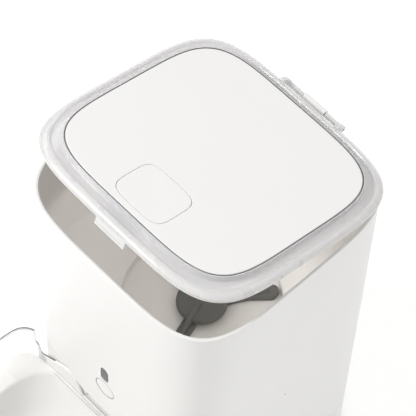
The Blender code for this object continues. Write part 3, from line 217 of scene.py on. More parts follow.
def squircle(half_x, half_y, power, height=0.0, centre_y=0.0, back=None, back_power=None, count=AROUND):
    """Closed superellipse outline at one height. The half towards +Y may have its own half size and power."""
    quads = count // 4
    back_x, back_y = quarter(half_x, half_y if back is None else back, back_power or power, quads)
    x, y = quarter(half_x, half_y, power, quads)
    across = np.concatenate([back_x[:-1], -back_x[:0:-1], -x[:-1], x[:0:-1]])
    along = np.concatenate([back_y[:-1], back_y[:0:-1], -y[:-1], -y[:0:-1]])
    return np.stack([across, along + centre_y, np.full(count, float(height))], axis=-1)


def at_height(ring, height):
    """A copy of an outline with one height for all its points, or a height for each."""
    raised = ring.copy()
    raised[:, 2] = height
    return raised


def rounded(corners, radii, steps=5):
    """Replaces each inner corner of a polyline by a quadratic curve that starts a radius before and after it."""
    corners = np.asarray(corners, dtype=float)
    radii = np.broadcast_to(radii, len(corners) - 2)
    share = np.linspace(0.0, 1.0, steps + 1)[:, None]
    parts = [corners[:1]]
    for before, corner, after, radius in zip(corners[:-2], corners[1:-1], corners[2:], radii):
        into, out = before - corner, after - corner
        start = corner + into * min(0.48, radius / max(np.linalg.norm(into), 1e-9))
        end = corner + out * min(0.48, radius / max(np.linalg.norm(out), 1e-9))
        parts.append((1 - share) ** 2 * start + 2 * share * (1 - share) * corner + share ** 2 * end)
    parts.append(corners[-1:])
    return np.vstack(parts)


def even_s(value, start, end):
    """0 before start, 1 after end, and 3t^2 - 2t^3 between them."""
    share = np.clip((value - start) / (end - start), 0.0, 1.0)
    return share * share * (3.0 - 2.0 * share)


def lathe(profile, place, axis="Z", count=64):
    """Skin of revolution: each (radius, height) corner of the profile becomes a ring about the axis at place."""
    turn = np.linspace(0.0, 2 * math.pi, count, endpoint=False)
    profile = np.asarray(profile, dtype=float)
    radius, height = profile[:, :1], profile[:, 1:2]
    flat = np.broadcast_to(height, (len(profile), count))
    a, b = radius * np.cos(turn), radius * np.sin(turn)
    grid = {"Z": (a, b, flat), "Y": (a, flat, -b), "X": (flat, a, b)}[axis]
    return skin(np.stack(grid, axis=-1) + np.asarray(place, dtype=float))


def extruded(outline, low, high, along="X"):
    """Skin over a flat closed outline that is carried from low to high along one axis."""
    outline = np.asarray(outline, dtype=float)
    rings = []
    for level in (low, high):
        flat = np.full(len(outline), float(level))
        a, b = outline[:, 0], outline[:, 1]
        rings.append(np.stack({"X": (flat, a, b), "Y": (a, flat, b), "Z": (a, b, flat)}[along], axis=-1))
    return skin(rings)


def box(low, high):
    """Skin over a plain box."""
    (x0, y0, z0), (x1, y1, z1) = low, high
    return extruded([(x0, y0), (x1, y0), (x1, y1), (x0, y1)], z0, z1, "Z")


# %% [markdown]
# ## Finishes
# One small function adds a node with its settings and links, and each finish is one function or a few lines on top of
# it. Colours are written as sRGB hex values, as a paint chart gives them, and turned to Blender's linear colour once.
# A value that is the same all over a surface sits on the shader's own socket, so the exporter can read it.

# %% Material helpers
DRIFT_MM, FLOW_MM = 45, 18  # how wide colour and gloss drift in a moulding, and how wide its flow marks are


def linear(hex_colour):
    """sRGB hex to linear colour: c/12.92 up to 0.04045, and ((c + 0.055)/1.055)^2.4 above it."""
    parts = [int(hex_colour[k:k + 2], 16) / 255 for k in (1, 3, 5)]
    return [c / 12.92 if c <= 0.04045 else ((c + 0.055) / 1.055) ** 2.4 for c in parts] + [1.0]


def add_node(tree, kind, inputs=(), links=(), **settings):
    """Adds a node, sets its properties and its input values, and links other nodes' outputs to its inputs."""
    made = tree.nodes.new(kind)
    for name, value in settings.items():
        setattr(made, name, value)
    for name, value in dict(inputs).items():
        made.inputs[name].default_value = value
    for name, output in dict(links).items():
        tree.links.new(output, made.inputs[name])
    return made


def new_finish(name, **shader_values):
    """An empty Principled material: returns its tree, its shader and the object coordinates for patterns."""
    made = bpy.data.materials.new(name)
    made.use_nodes = True
    shader = made.node_tree.nodes["Principled BSDF"]
    for socket, value in shader_values.items():
        shader.inputs[socket.replace("_", " ")].default_value = value
    where = add_node(made.node_tree, "ShaderNodeTexCoord").outputs["Object"]
    return made, made.node_tree, shader, where


def moulded(name, light, dark, grain_mm, roughness, spread, bump, **shader_values):
    """A moulded finish: slow drift between two near colours, uneven gloss, and the tool's fine surface grain."""
    made, tree, shader, where = new_finish(name, **shader_values)
    slow = add_node(tree, "ShaderNodeTexNoise", {"Scale": 1000 / DRIFT_MM, "Detail": 2.0}, {"Vector": where})
    colour = add_node(tree, "ShaderNodeMix", {"A": linear(light), "B": linear(dark)}, data_type="RGBA")
    tree.links.new(slow.outputs["Fac"], colour.inputs["Factor"])
    tree.links.new(colour.outputs["Result"], shader.inputs["Base Color"])
    grain = add_node(tree, "ShaderNodeTexNoise", {"Scale": 1000 / grain_mm, "Detail": 3.0}, {"Vector": where})
    gloss = add_node(tree, "ShaderNodeMapRange", {"To Min": roughness - spread, "To Max": roughness + spread},
                     {"Value": slow.outputs["Fac"]})
    tree.links.new(gloss.outputs["Result"], shader.inputs["Roughness"])
    relief = add_node(tree, "ShaderNodeBump", {"Strength": bump, "Distance": grain_mm * MM / 4},
                      {"Height": grain.outputs["Fac"]})
    tree.links.new(relief.outputs["Normal"], shader.inputs["Normal"])
    return made


# %% [markdown]
# The shell, lid cover and buttons are white ABS from a spark-eroded mould. The grain in such a mould is about 0.2 mm,
# which gives the eye a soft satin sheen. It is too fine to show from here, so it is drawn at 0.5 mm. The other opaque
# finishes differ from it in colour, grain, gloss and IOR alone, and each comment says what the eye gets from that.

# %% Opaque finishes
# Satin white ABS: the sheen is wide, so the shell has soft shades and no sharp reflection. Polished ABS for the bowl:
# one small gloss in the hollow. Ivory matt ABS for the hopper: the light falls evenly, without glare.
white_abs = moulded("white_abs_satin", "#F6F5F3", "#F4F3F1", 0.5, 0.38, 0.03, 0.10, IOR=1.54)
bowl_abs = moulded("white_abs_glossy", "#F2F1EF", "#EFEEEC", 0.5, 0.20, 0.03, 0.05, IOR=1.54)
hopper_abs = moulded("ivory_abs_matt", "#F4F1ED", "#F1EEEA", 0.6, 0.45, 0.04, 0.15, IOR=1.54)
# Grained nylon: dull dark grey, with a faint light along the edges. Acetal: grey and waxy, half glossy.
stirrer_nylon = moulded("dark_grey_nylon", "#6C6C69", "#666663", 0.7, 0.50, 0.05, 0.20, IOR=1.53)
grey_acetal = moulded("grey_acetal", "#8F9194", "#898B8E", 0.6, 0.42, 0.04, 0.12, IOR=1.48)
# Rubber: black, with no shine. Silicone: light enters it and spreads by 2 mm, so the ring looks soft.
foot_rubber = moulded("black_rubber", "#2B2B2B", "#242424", 0.8, 0.75, 0.06, 0.30, IOR=1.52)
milky_silicone = moulded("milky_silicone", "#DEDEDA", "#D8D8D4", 0.8, 0.50, 0.05, 0.10, IOR=1.41,
                         Subsurface_Weight=0.3, Subsurface_Scale=0.002)
# Polished smoked polycarbonate: dark with one sharp light. Solder lacquer: green and half glossy. Fleece: dull, uneven
# by its fibres. Zinc plating: bright grey metal with soft reflections.
smoked_lens = moulded("smoked_polycarbonate", "#4A4A4B", "#434344", 0.5, 0.16, 0.03, 0.04, IOR=1.58)
circuit_board = moulded("circuit_board_lacquer", "#1E5B36", "#184E2D", 0.9, 0.35, 0.08, 0.20, IOR=1.55)
fleece_bag = moulded("fleece_bag", "#E9E8E3", "#DDDCD6", 1.2, 0.90, 0.04, 0.60, IOR=1.45)
zinc_steel = moulded("zinc_plated_steel", "#C6C8CB", "#BABDC1", 0.6, 0.28, 0.06, 0.10, Metallic=1.0)


# %% [markdown]
# The lid is clear styrene (IOR 1.57) and the tray clear acrylic (IOR 1.49). Thin clear walls could be pure
# transmission, but then two or three of them in a row turn grey and speckled. So each finish is part transmission,
# which bends light, and part alpha, which lets it pass straight. Shadow rays meet it as open as it is clear, so that
# what lies behind it is lit.

# %% Clear finishes
def clear_finish(name, tint, roughness, ior, clearness, shows=1.0, grain_mm=0.8, bump=0.0):
    """Clear plastic: its gloss drifts by 30 % along the flow marks, and bump gives it a fine grain.
    Its alpha is shows, or 1 - clearness for shadow rays where that is less."""
    made, tree, shader, where = new_finish(name, Transmission_Weight=clearness, IOR=ior)
    shader.inputs["Base Color"].default_value = linear(tint)
    slow = add_node(tree, "ShaderNodeTexNoise", {"Scale": 1000 / FLOW_MM, "Detail": 1.0}, {"Vector": where})
    gloss = add_node(tree, "ShaderNodeMapRange", {"To Min": roughness * 0.7, "To Max": roughness * 1.3},
                     {"Value": slow.outputs["Fac"]})
    tree.links.new(gloss.outputs["Result"], shader.inputs["Roughness"])
    grain = add_node(tree, "ShaderNodeTexNoise", {"Scale": 1000 / grain_mm, "Detail": 2.0}, {"Vector": where})
    relief = add_node(tree, "ShaderNodeBump", {"Strength": bump, "Distance": grain_mm * MM / 4},
                      {"Height": grain.outputs["Fac"]})
    tree.links.new(relief.outputs["Normal"], shader.inputs["Normal"])
    rays = add_node(tree, "ShaderNodeLightPath")
    shade = add_node(tree, "ShaderNodeMapRange", {"To Min": shows, "To Max": min(shows, 1.0 - clearness)},
                     {"Value": rays.outputs["Is Shadow Ray"]})
    tree.links.new(shade.outputs["Result"], shader.inputs["Alpha"])
    return made


# Polished styrene: long bright lines on the edges of a pale milky body. The lid's outside has the mould's satin grain,
# about 0.1 mm, drawn at 0.9 mm, and looks like an even white veil. Yoke and latch are thick and so look milkier.
clear_styrene = clear_finish("clear_styrene_moulding", "#FBFAFB", 0.16, 1.57, 0.45, 0.85)
satin_styrene = clear_finish("satin_styrene_moulding", "#F6F5F4", 0.28, 1.57, 0.12, 0.66, grain_mm=0.9, bump=0.02)
milky_styrene = clear_finish("milky_styrene_moulding", "#F6F6F5", 0.25, 1.57, 0.08, 0.80, grain_mm=0.9, bump=0.02)
# Polished acrylic: hardly any colour, so that the eye finds its edges and reflections. The grey along the cut edge is
# painted shade, for the light that runs inside the wall. The wall that stands against the white tower shows white.
clear_acrylic = clear_finish("clear_acrylic_tray", "#F3F4F3", 0.05, 1.49, 0.93, 0.75)
backed_acrylic = moulded("white_backed_acrylic", "#F6F5F3", "#F4F3F1", 0.5, 0.20, 0.03, 0.05, IOR=1.49)
painted_edge_shade = clear_finish("acrylic_tray_painted_edge_shade", "#8A8A88", 0.20, 1.49, 0.30)
# Painted shade: a dull dark grey ring in the seam of the lid's cover stands for the shadow in that gap.
painted_seam_shade = moulded("painted_seam_shade_grey", "#6E6E70", "#656567", 0.8, 0.60, 0.05, 0.20, IOR=1.50)
print("finishes:", sorted(m.name for m in bpy.data.materials if m.use_nodes))

# %% [markdown]
# ## The tower
# A blow-moulded look, but really a thin injection moulding: a squircle tube that bows a little on each side. Its lower
# front is flat, so that the bowl's tray can stand against it, and the bowed front ends over it in a soft lip that dips
# in the middle. One stack of rings makes the outer wall, goes over the rim and comes down the inner wall, so the wall
# is as thick as the real one. The holes are cut last. Under the rim's rounding the inner wall has the hopper's finish.

# %% Tower shell
TOWER_X, TOWER_Y, TOWER_POWER, WALL = 90.0, 91.1, 4.63, 2.0
FLAT_FRONT = 84.0  # how far the flat lower front lies before the axis
BASE_TOP = 40.0
LIP_ROUND, RIM_ROUND, FOOT_BAND = 2.0, 2.0, 6.0


def lip_height(x):
    """The lip is 115 mm over the floor in the middle and 126 mm at the sides."""
    return 115.0 + 11.0 * even_s(np.abs(x), 22.0, 48.0)


def behind(outline, limit):
    """Keeps an outline behind y = -limit, with a soft change of 0.6 mm where the two meet."""
    kept = outline.copy()
    over = kept[:, 1] + limit
    kept[:, 1] = np.where(kept[:, 1] < 0, -limit + (over + np.sqrt(over * over + 0.36)) / 2, kept[:, 1])
    return kept


def tower_rings():
    """Rings up the outer wall, over the rim and down the inner wall."""
    full = squircle(TOWER_X, TOWER_Y, TOWER_POWER)
    flat = behind(full, FLAT_FRONT)
    lip = lip_height(full[:, 0])
    bottom = BASE_TOP + GAP
    rings = []
    for inset, height in rounded([(1.2, bottom), (0.0, bottom), (0.0, bottom + FOOT_BAND)], 0.5, 3):
        ring = behind(squircle(TOWER_X - inset, TOWER_Y - inset, TOWER_POWER), FLAT_FRONT - inset)
        rings.append(at_height(ring, height))
    for share in np.linspace(0.1, 1.0, 14):
        rings.append(at_height(flat, bottom + FOOT_BAND + (lip - bottom - FOOT_BAND) * share))
    for inset, rise in rounded([(LIP_ROUND, 0.0), (0.0, 0.0), (0.0, LIP_ROUND)], 0.9, 6)[1:]:
        ring = squircle(TOWER_X - inset, TOWER_Y - inset, TOWER_POWER)
        ring = np.where((full[:, 1] < -FLAT_FRONT + 1.0)[:, None], ring, flat)
        rings.append(at_height(ring, lip + rise))
    for share in np.linspace(0.0, 1.0, 26)[1:-1]:
        rings.append(at_height(full, lip + LIP_ROUND + (RIM - RIM_ROUND - lip - LIP_ROUND) * share))
    rim = rounded([(0.0, RIM - RIM_ROUND), (0.0, RIM), (WALL, RIM), (WALL, RIM - RIM_ROUND)], [0.7, 0.6], 6)
    for inset, height in rim:
        rings.append(squircle(TOWER_X - inset, TOWER_Y - inset, TOWER_POWER, height))
    inner = squircle(TOWER_X - WALL, TOWER_Y - WALL, TOWER_POWER)
    for share in np.linspace(0.0, 1.0, 16)[1:]:
        rings.append(at_height(inner, RIM - RIM_ROUND + (lip + WALL - RIM + RIM_ROUND) * share))
    inner_flat = behind(inner, FLAT_FRONT - WALL)
    for share in np.linspace(0.0, 1.0, 8):
        rings.append(at_height(inner_flat, lip + WALL + (bottom - lip - WALL) * share))
    return rings


def capsule(half_width, half_height, centre, count=16):
    """Upright capsule outline in (x, z): two half circles and the straight sides between them."""
    turn = np.linspace(0.0, math.pi, count)
    straight = half_height - half_width
    top = np.stack([half_width * np.cos(turn), centre + straight + half_width * np.sin(turn)], axis=-1)
    low = np.stack([-half_width * np.cos(turn), centre - straight - half_width * np.sin(turn)], axis=-1)
    return np.vstack([top, low])


BUTTON_R, BUTTON_Z = 8.75, 151.0
LAMP_X, LAMP_HALF, LAMP_Z = 3.5, 8.5, 171.0

tower_shell = bare_mesh("tower_shell", [skin(tower_rings(), close_rows=True)])
openings = [
    bare_mesh("outlet_cut", [box((-29.0, -87.0, 88.0), (29.0, -80.0, 113.0))]),
    bare_mesh("button_cut", [lathe([(9.2, -95.0), (9.2, -80.0)], (0, 0, BUTTON_Z), "Y")]),
    bare_mesh("lamp_cut", [extruded(capsule(LAMP_X + GAP, LAMP_HALF + GAP, LAMP_Z), -95.0, -80.0, "Y")]),
    bare_mesh("pinhole_cut", [lathe([(0.8, 85.0), (0.8, 93.0)], (0, -7.0, 160.0), "X", 24)]),
    bare_mesh("inlet_cut", [lathe([(4.2, 85.0), (4.2, 93.0)], (30.0, 0, 50.0), "Y", 40)]),
]
baked(tower_shell, openings, "DIFFERENCE")
dress(tower_shell, white_abs, "base", "housing", "tower_housing")


def inside_hopper(centres):
    """Faces of the inner wall, under the rim's rounding: those inside the squircle 0.2 mm outside that wall."""
    across, along = np.abs(centres[:, 0]), np.abs(centres[:, 1] - AXIS_Y)
    half_x, half_y = TOWER_X - WALL + 0.2, TOWER_Y - WALL + 0.2
    reach = (across / half_x) ** TOWER_POWER + (along / half_y) ** TOWER_POWER
    return (reach < 1.0) & (centres[:, 2] > 130.0) & (centres[:, 2] < RIM - 1.0)


second_finish(tower_shell, hopper_abs, inside_hopper)

# %% [markdown]
# ## The base
# A hollow plinth carries the tower and, in front of it, the tray of the bowl. Behind it follows the tower's squircle,
# and its long front has tighter corners.

# %% Base
BASE_FRONT, BASE_POWER = 215.5, 8.0


def base_ring(inset, height):
    """Outline of the base: the tower's squircle behind, a superellipse of power 8 in front."""
    return squircle(TOWER_X - inset, BASE_FRONT - inset, BASE_POWER, height, back=TOWER_Y - inset,
                    back_power=TOWER_POWER)


base_profile = rounded([(2.4, 3.0), (0.0, 3.0), (0.0, BASE_TOP), (6.0, BASE_TOP), (12.0, BASE_TOP), (12.0, 37.6),
                        (2.4, 37.6), (2.4, 3.0)], [0.8, 1.4, 0.5, 0.5, 0.5, 0.5], 6)[:-1]
base_body = bare_mesh("base_body", [skin([base_ring(*p) for p in base_profile], close_rows=True)])
deck_rings = [squircle(TOWER_X - 11.0, 65.0, 9.0, height, -141.0) for height in (38.0, BASE_TOP)]
base_deck = bare_mesh("base_deck", [skin(deck_rings)])
dress(base_body, white_abs, "base", "housing", "base_pan")
dress(base_deck, white_abs, "base", "housing")

# %% [markdown]
# ## The hopper's funnel
# Food slides from the squircle hopper into a round well. The funnel blends one outline into the other: at each share
# of the way down it takes a share of the way in, and its power falls to 2, a circle. The well's rim shows as a crease.
# Over the funnel the lining runs up the wall as a skin that thins out to nothing, so that no step shows between them.

# %% Hopper lining
WELL_R, WELL_FLOOR, WELL_EDGE = 57.0, 155.5, 165.0
FUNNEL_RIM, SKIN_UP = 207.0, 22.0
FUNNEL_TABLE = np.array([  # share of the way down, share of the way in, power
    (0.00, 0.00, 4.63), (0.22, 0.17, 4.10), (0.48, 0.42, 3.20), (0.74, 0.70, 2.50), (1.00, 1.00, 2.00),
])


def funnel_ring(down, drop, grow):
    """Ring at a share of the way down: half sizes and power are read from the table, drop and grow offset it."""
    inwards = np.interp(down, FUNNEL_TABLE[:, 0], FUNNEL_TABLE[:, 1])
    power = np.interp(down, FUNNEL_TABLE[:, 0], FUNNEL_TABLE[:, 2])
    start_x, start_y = TOWER_X - WALL - GAP - 1.4, TOWER_Y - WALL - GAP - 1.4
    end = WELL_R + 1.2
    half_x = start_x + (end - start_x) * inwards + grow
    half_y = start_y + (end - start_y) * inwards + grow
    return squircle(half_x, half_y, power, FUNNEL_RIM + (WELL_EDGE - FUNNEL_RIM) * down - drop)


def skin_inset(height):
    """Inset of the skin on the wall: -0.28 mm at its top, and 1.68 mm times the square of the share down more."""
    return 1.68 * ((FUNNEL_RIM + SKIN_UP - height) / SKIN_UP) ** 2 - 0.28


shares = np.linspace(0.0, 1.0, 24)
edge_x, edge_y = TOWER_X - WALL - GAP, TOWER_Y - WALL - GAP
lining = [squircle(4.5, 4.5, 2.0, WELL_FLOOR - 2.0)]
lining += [squircle(r, r, 2.0, WELL_FLOOR - 2.0) for r in (30.0, WELL_R + 1.8)]
lining += [funnel_ring(share, 1.8, 0.9) for share in shares[::-1][:-1]]
lining += [squircle(edge_x - 1.2, edge_y - 1.2, TOWER_POWER, 205.0), squircle(edge_x, edge_y, TOWER_POWER, 205.0)]
for height in np.linspace(FUNNEL_RIM + SKIN_UP, FUNNEL_RIM, 12)[:-1]:
    inset = skin_inset(height)
    lining.append(squircle(edge_x - inset, edge_y - inset, TOWER_POWER, height))
lining += [funnel_ring(share, 0.0, 0.0) for share in shares]
well = rounded([(WELL_R + 1.2, WELL_EDGE), (WELL_R, WELL_EDGE - 1.2), (WELL_R, WELL_FLOOR), (30.0, WELL_FLOOR),
                (4.5, WELL_FLOOR)], [1.0, 1.5, 0.1], 4)[1:]
lining += [squircle(r, r, 2.0, z) for r, z in well]
hopper_lining = bare_mesh("hopper_lining", [skin(lining, close_rows=True)], sharp=50.0)


def sector(inner, outer, middle, half, count=24):
    """Outline of a ring sector in (x, y). Angles are in degrees."""
    turn = np.radians(np.linspace(middle - half, middle + half, count))
    far = outer * np.stack([np.cos(turn), np.sin(turn)], axis=-1)
    near = inner * np.stack([np.cos(turn[::-1]), np.sin(turn[::-1])], axis=-1)
    return np.vstack([far, near])


drop_window = bare_mesh("window_cut", [extruded(sector(20.0, 50.0, 90.0, 30.0), 150.0, 158.0, "Z")])
baked(hopper_lining, [drop_window], "DIFFERENCE", 50.0)
dress(hopper_lining, hopper_abs, "base", "hopper", "hopper_funnel")

# %% [markdown]
# ## The stirrer
# A hub like a flat mushroom and three flat arms keep the food moving over the drop window. Each arm carries a raised
# ridge along its middle. The arms aren't evenly spaced or equally wide, so each has its angle and its own half widths.
# The pieces are lofted one by one and united, as the toolmaker would add them to one cavity.

# %% Stirrer
HUB_R, HUB_FOOT, HUB_LOW, HUB_HIGH = 18.5, 14.5, 156.1, 167.1
ARM_ANGLES = (-73.0, 59.0, 172.0)
ARM_IN, ARM_OUT = 8.0, 55.0
ARM_STATIONS = (ARM_IN, 24.0, 33.0, 48.0, ARM_OUT)  # distances at which each arm's half width is given
ARM_HALVES = ((5.0, 4.8, 4.6, 6.2, 6.4), (4.2, 3.0, 2.7, 5.6, 6.6), (5.0, 4.6, 4.0, 6.2, 6.6))


def arm_skin(degrees, low, profile, sections):
    """Loft of a rounded cross-section along a radius. sections gives (distance, half width, height) triples."""
    turn = math.radians(degrees)
    rings = []
    for distance, half, height in sections:
        across = profile[:, 0] * half
        x = distance * math.cos(turn) - across * math.sin(turn)
        y = distance * math.sin(turn) + across * math.cos(turn)
        rings.append(np.stack([x, y, low + profile[:, 1] * height], axis=-1))
    return skin(rings)


soft_tops = [0.02, 0.25, 0.02, 0.25, 0.02]
arm_shape = rounded([(0, 0), (1, 0), (1, 1), (0, 1), (-1, 1), (-1, 0), (0, 0)], soft_tops, 6)[:-1]
ridge_shape = rounded([(0, 0), (1, 0), (0.55, 1), (0, 1), (-0.55, 1), (-1, 0), (0, 0)], soft_tops, 5)[:-1]
hub_profile = rounded([(0.0, HUB_LOW), (HUB_FOOT, HUB_LOW), (HUB_R, HUB_HIGH - 5.0), (HUB_R - 1.5, HUB_HIGH - 1.2),
                       (0.0, HUB_HIGH)], [0.5, 1.6, 2.6], 8)
hub_profile[[0, -1], 0] = 0.01
stirrer_body = bare_mesh("stirrer_body", [lathe(hub_profile, (0, 0, 0), count=96)])
arms = []
for number, degrees in enumerate(ARM_ANGLES):
    spans = np.linspace(ARM_IN, ARM_OUT, 30)
    half = np.interp(spans, ARM_STATIONS, ARM_HALVES[number])
    half *= np.sqrt(np.clip((55.6 - spans) / 6.0, 0, 1))
    arms.append(bare_mesh(f"arm_{number}", [arm_skin(degrees, HUB_LOW, arm_shape,
                                                     [(s, h, 4.2) for s, h in zip(spans, half)])]))
    ridge = [(s, np.interp(s, [4, 20, 30, 48], [4.6, 3.4, 2.2, 1.6]),
              np.interp(s, [4, 14, 19, 26, 48], [11.8, 11.6, 9.4, 6.2, 4.9])) for s in np.linspace(4, 48, 24)]
    arms.append(bare_mesh(f"ridge_{number}", [arm_skin(degrees, HUB_LOW, ridge_shape, ridge)]))
baked(stirrer_body, arms, "UNION", 40.0)
dress(stirrer_body, stirrer_nylon, "rotor", "stirrer", "stirrer")

# %% [markdown]
# ## The lid's clear moulding
# The clear part of the lid carries everything: a leaning side, a thin crest, a moat inside it, the flat deck under the
# white cover, the rib that finds the hopper's mouth, and the hinge yoke behind. Its section is drawn once and carried
# round the lid, so the wall stays even and the light runs along it in the long lines that clear mouldings show.
# A thin ridge stands up round the place of the cover. Each corner of the section is (half width, half depth, height).

# %% Lid moulding
LID_X, LID_Y, LID_POWER = 90.75, 90.0, 4.78
CREST = 5.2
DECK_TOP, DECK_LOW = 3.6, 1.8
STEM = (5.3, 2.6, -59.9)  # hole for the button's stem: half width, half depth, place


def lid_ring(half_x, half_y, height):
    """Outline of the lid's squircle at one height."""
    return squircle(half_x, half_y, LID_POWER, height)


lid_top = rounded([
    (76.0, 74.3, DECK_TOP), (79.3, 77.6, DECK_TOP), (79.3, 77.6, 8.2), (80.0, 78.3, 8.2), (80.3, 78.6, DECK_TOP),
    (85.0, 83.7, 3.7), (85.9, 84.6, 4.9), (87.0, 85.7, CREST),
    (88.0, 86.7, 4.87), (89.5, 88.6, 3.7), (90.75, 90.0, 2.2), (90.75, 90.0, 1.0), (89.3, 88.4, 1.0),
    (88.2, 87.1, 2.5), (87.0, 85.9, 3.2), (86.0, 85.8, 2.4), (85.7, 85.8, 0.6), (85.7, 85.8, -3.0), (84.3, 84.4, -3.0),
    (84.3, 84.4, DECK_LOW), (76.0, 74.3, DECK_LOW),
], [0.2, 0.25, 0.25, 1.2, 0.7, 0.5, 0.6, 0.5, 0.8, 0.6, 0.35, 0.35, 0.5, 0.5, 0.5, 0.5, 0.4, 0.4, 0.6], 5)
moulding = [squircle(STEM[0], STEM[1], 8.0, DECK_TOP, STEM[2])]
moulding += [lid_ring(*p) for p in lid_top]
moulding += [squircle(STEM[0], STEM[1], 8.0, DECK_LOW, STEM[2])]
moulding = np.array(moulding)
in_notch = (np.abs(moulding[..., 0]) < 13.3) & (moulding[..., 1] < -80.0)
moulding[..., 2] = np.where(in_notch & (moulding[..., 2] < DECK_LOW) & (np.abs(moulding[..., 1]) < 86.5),
                            np.maximum(moulding[..., 2], 1.0), moulding[..., 2])
lid_moulding = bare_mesh("lid_moulding", [skin(moulding, close_rows=True)], on_lid)

YOKE_OUT, YOKE_ARM, YOKE_IN, YOKE_R = 26.5, 3.0, 10.3, 1.9
arm_outline = rounded([(88.0, 1.5), (88.0, 4.2), (91.4, 4.2), (HINGE_Y + YOKE_R, -LID_RISE + YOKE_R),
                       (HINGE_Y + YOKE_R, -LID_RISE - YOKE_R), (HINGE_Y - YOKE_R, -LID_RISE - YOKE_R),
                       (91.4, 1.0), (88.0, 1.5)], [0.3, 1.0, 1.2, 1.6, 1.2, 0.5], 5)[:-1]
yoke = []
for side in (-1, 1):
    inner, outer = sorted((side * (YOKE_OUT - YOKE_ARM), side * YOKE_OUT))
    yoke.append(bare_mesh(f"yoke_arm_{side}", [extruded(arm_outline, inner, outer, "X")], on_lid))
    inner, outer = sorted((side * YOKE_IN, side * (YOKE_OUT - 0.4)))
    yoke.append(bare_mesh(f"yoke_barrel_{side}", [lathe([(YOKE_R, inner), (YOKE_R, outer)],
                                                         (0, HINGE_Y, -LID_RISE), "X", 40)], on_lid))
baked(lid_moulding, yoke, "UNION")
PIN_R = 1.1
yoke_bore = lathe([(PIN_R, -30.0), (PIN_R, 30.0)], (0, HINGE_Y, -LID_RISE), "X", 24)
baked(lid_moulding, [bare_mesh("yoke_bore", [yoke_bore], on_lid)], "DIFFERENCE")
dress(lid_moulding, clear_styrene, "lid", "clear", "lid_frame")

# %% [markdown]
# The same moulding has three surfaces. Inside the crest it is polished, outside it has the mould's satin grain, and the
# yoke is thick enough to look milky. A face is found by its place in the lid's own coordinates.

# %% Satin outside of the lid
def past_crest(centres):
    """Faces outside the crest, in lid coordinates."""
    flat = off_lid(centres)
    return (np.abs(flat[:, 0]) / 87.2) ** LID_POWER + (np.abs(flat[:, 1]) / 86.0) ** LID_POWER > 1.0


def on_yoke(centres):
    """Faces of the hinge yoke, behind the lid's edge."""
    return off_lid(centres)[:, 1] > 90.4


second_finish(lid_moulding, satin_styrene, past_crest)
second_finish(lid_moulding, milky_styrene, on_yoke)

# %% [markdown]
# ## Knuckle, gasket and cover
# The knuckle on the tower's back wall turns between the yoke's barrels. The gasket is a flat silicone ring under the
# lid's edge. The cover is a white moulding with a flat top and softly rounded edges, and its face is left plain. In the
# seam between the cover and the ridge round it stands a grey ring half a millimetre wide: painted shade, a dark line
# where the gap between them lies in shadow.

# %% Knuckle
KNUCKLE_R, KNUCKLE_X = 2.8, 9.7
turns = np.radians(np.linspace(90.0, -90.0, 20))
barrel = np.stack([HINGE_Y + KNUCKLE_R * np.cos(turns), RIM - HINGE_DROP + KNUCKLE_R * np.sin(turns)], axis=-1)
knuckle_outline = np.vstack([barrel, [(90.8, 303.0), (90.8, 307.8), (93.3, 308.6), (94.2, 311.6)]])
hinge_knuckle = bare_mesh("hinge_knuckle", [extruded(knuckle_outline, -KNUCKLE_X, KNUCKLE_X, "X")])
knuckle_bore = lathe([(PIN_R, -12.0), (PIN_R, 12.0)], (0, HINGE_Y, RIM - HINGE_DROP), "X", 24)
baked(hinge_knuckle, [bare_mesh("knuckle_bore", [knuckle_bore])], "DIFFERENCE")
dress(hinge_knuckle, white_abs, "base", "housing")

# %% Gasket
gasket_profile = rounded([(2.4, 0.2), (2.4, -0.3), (0.2, -0.3), (0.2, 0.7), (2.4, 0.7), (2.4, 0.2)], 0.3, 4)[:-1]
gasket_ring = bare_mesh("gasket_ring", [skin([lid_ring(LID_X - i, LID_Y - i, h) for i, h in gasket_profile],
                                             close_rows=True)], on_lid)
dress(gasket_ring, milky_silicone, "lid", "silicone", "lid_gasket")

# %% Cover
COVER_X, COVER_Y, COVER_TOP = 78.7, 77.0, 8.5
BUTTON_X, BUTTON_Y, BUTTON_POWER, BUTTON_C = 20.95, 17.65, 4.5, -54.0


def button_ring(grow, height):
    """Outline of the key in the lid, grown by so many millimetres."""
    return squircle(BUTTON_X + grow, BUTTON_Y + grow, BUTTON_POWER, height, BUTTON_C)


outside = rounded([(1.6, 3.9), (0.0, 3.9), (0.0, COVER_TOP), (1.8, COVER_TOP)], [0.3, 1.1], 8)
cover = [lid_ring(COVER_X - i, COVER_Y - i, h) for i, h in outside]
cover += [lid_ring(COVER_X - 2.1, COVER_Y - 2.1, COVER_TOP), button_ring(1.3, COVER_TOP)]
opening = rounded([(1.0, COVER_TOP), (0.35, COVER_TOP), (0.35, 6.9), (1.5, 6.9)], [0.35, 0.2], 4)
cover += [button_ring(g, h) for g, h in opening]
cover += [lid_ring(COVER_X - 1.6, COVER_Y - 1.6, 6.9)]
lid_cover = bare_mesh("lid_cover", [skin(cover, close_rows=True)], on_lid)
dress(lid_cover, white_abs, "lid", "housing", "lid_plate")
# Painted shade: a thin dark grey ring fills the seam round the cover, where the gap would lie in shadow.
seam_shade_profile = [(-0.03, 3.8), (-0.03, 8.3), (-0.58, 8.3), (-0.58, 3.8)]
cover_seam_shade = bare_mesh("cover_seam_shade", [skin([lid_ring(COVER_X - i, COVER_Y - i, h) for i, h in seam_shade_profile],
                                           close_rows=True)], on_lid)
dress(cover_seam_shade, painted_seam_shade, "lid", "silicone")

# %% [markdown]
# ## The push button in the lid
# A rounded square key, flush with the cover. A flange under the cover keeps it in, and the wedge on its stem draws the
# latch back when it is pressed. Its face is dished by a few tenths, which the finger finds and the eye hardly sees.

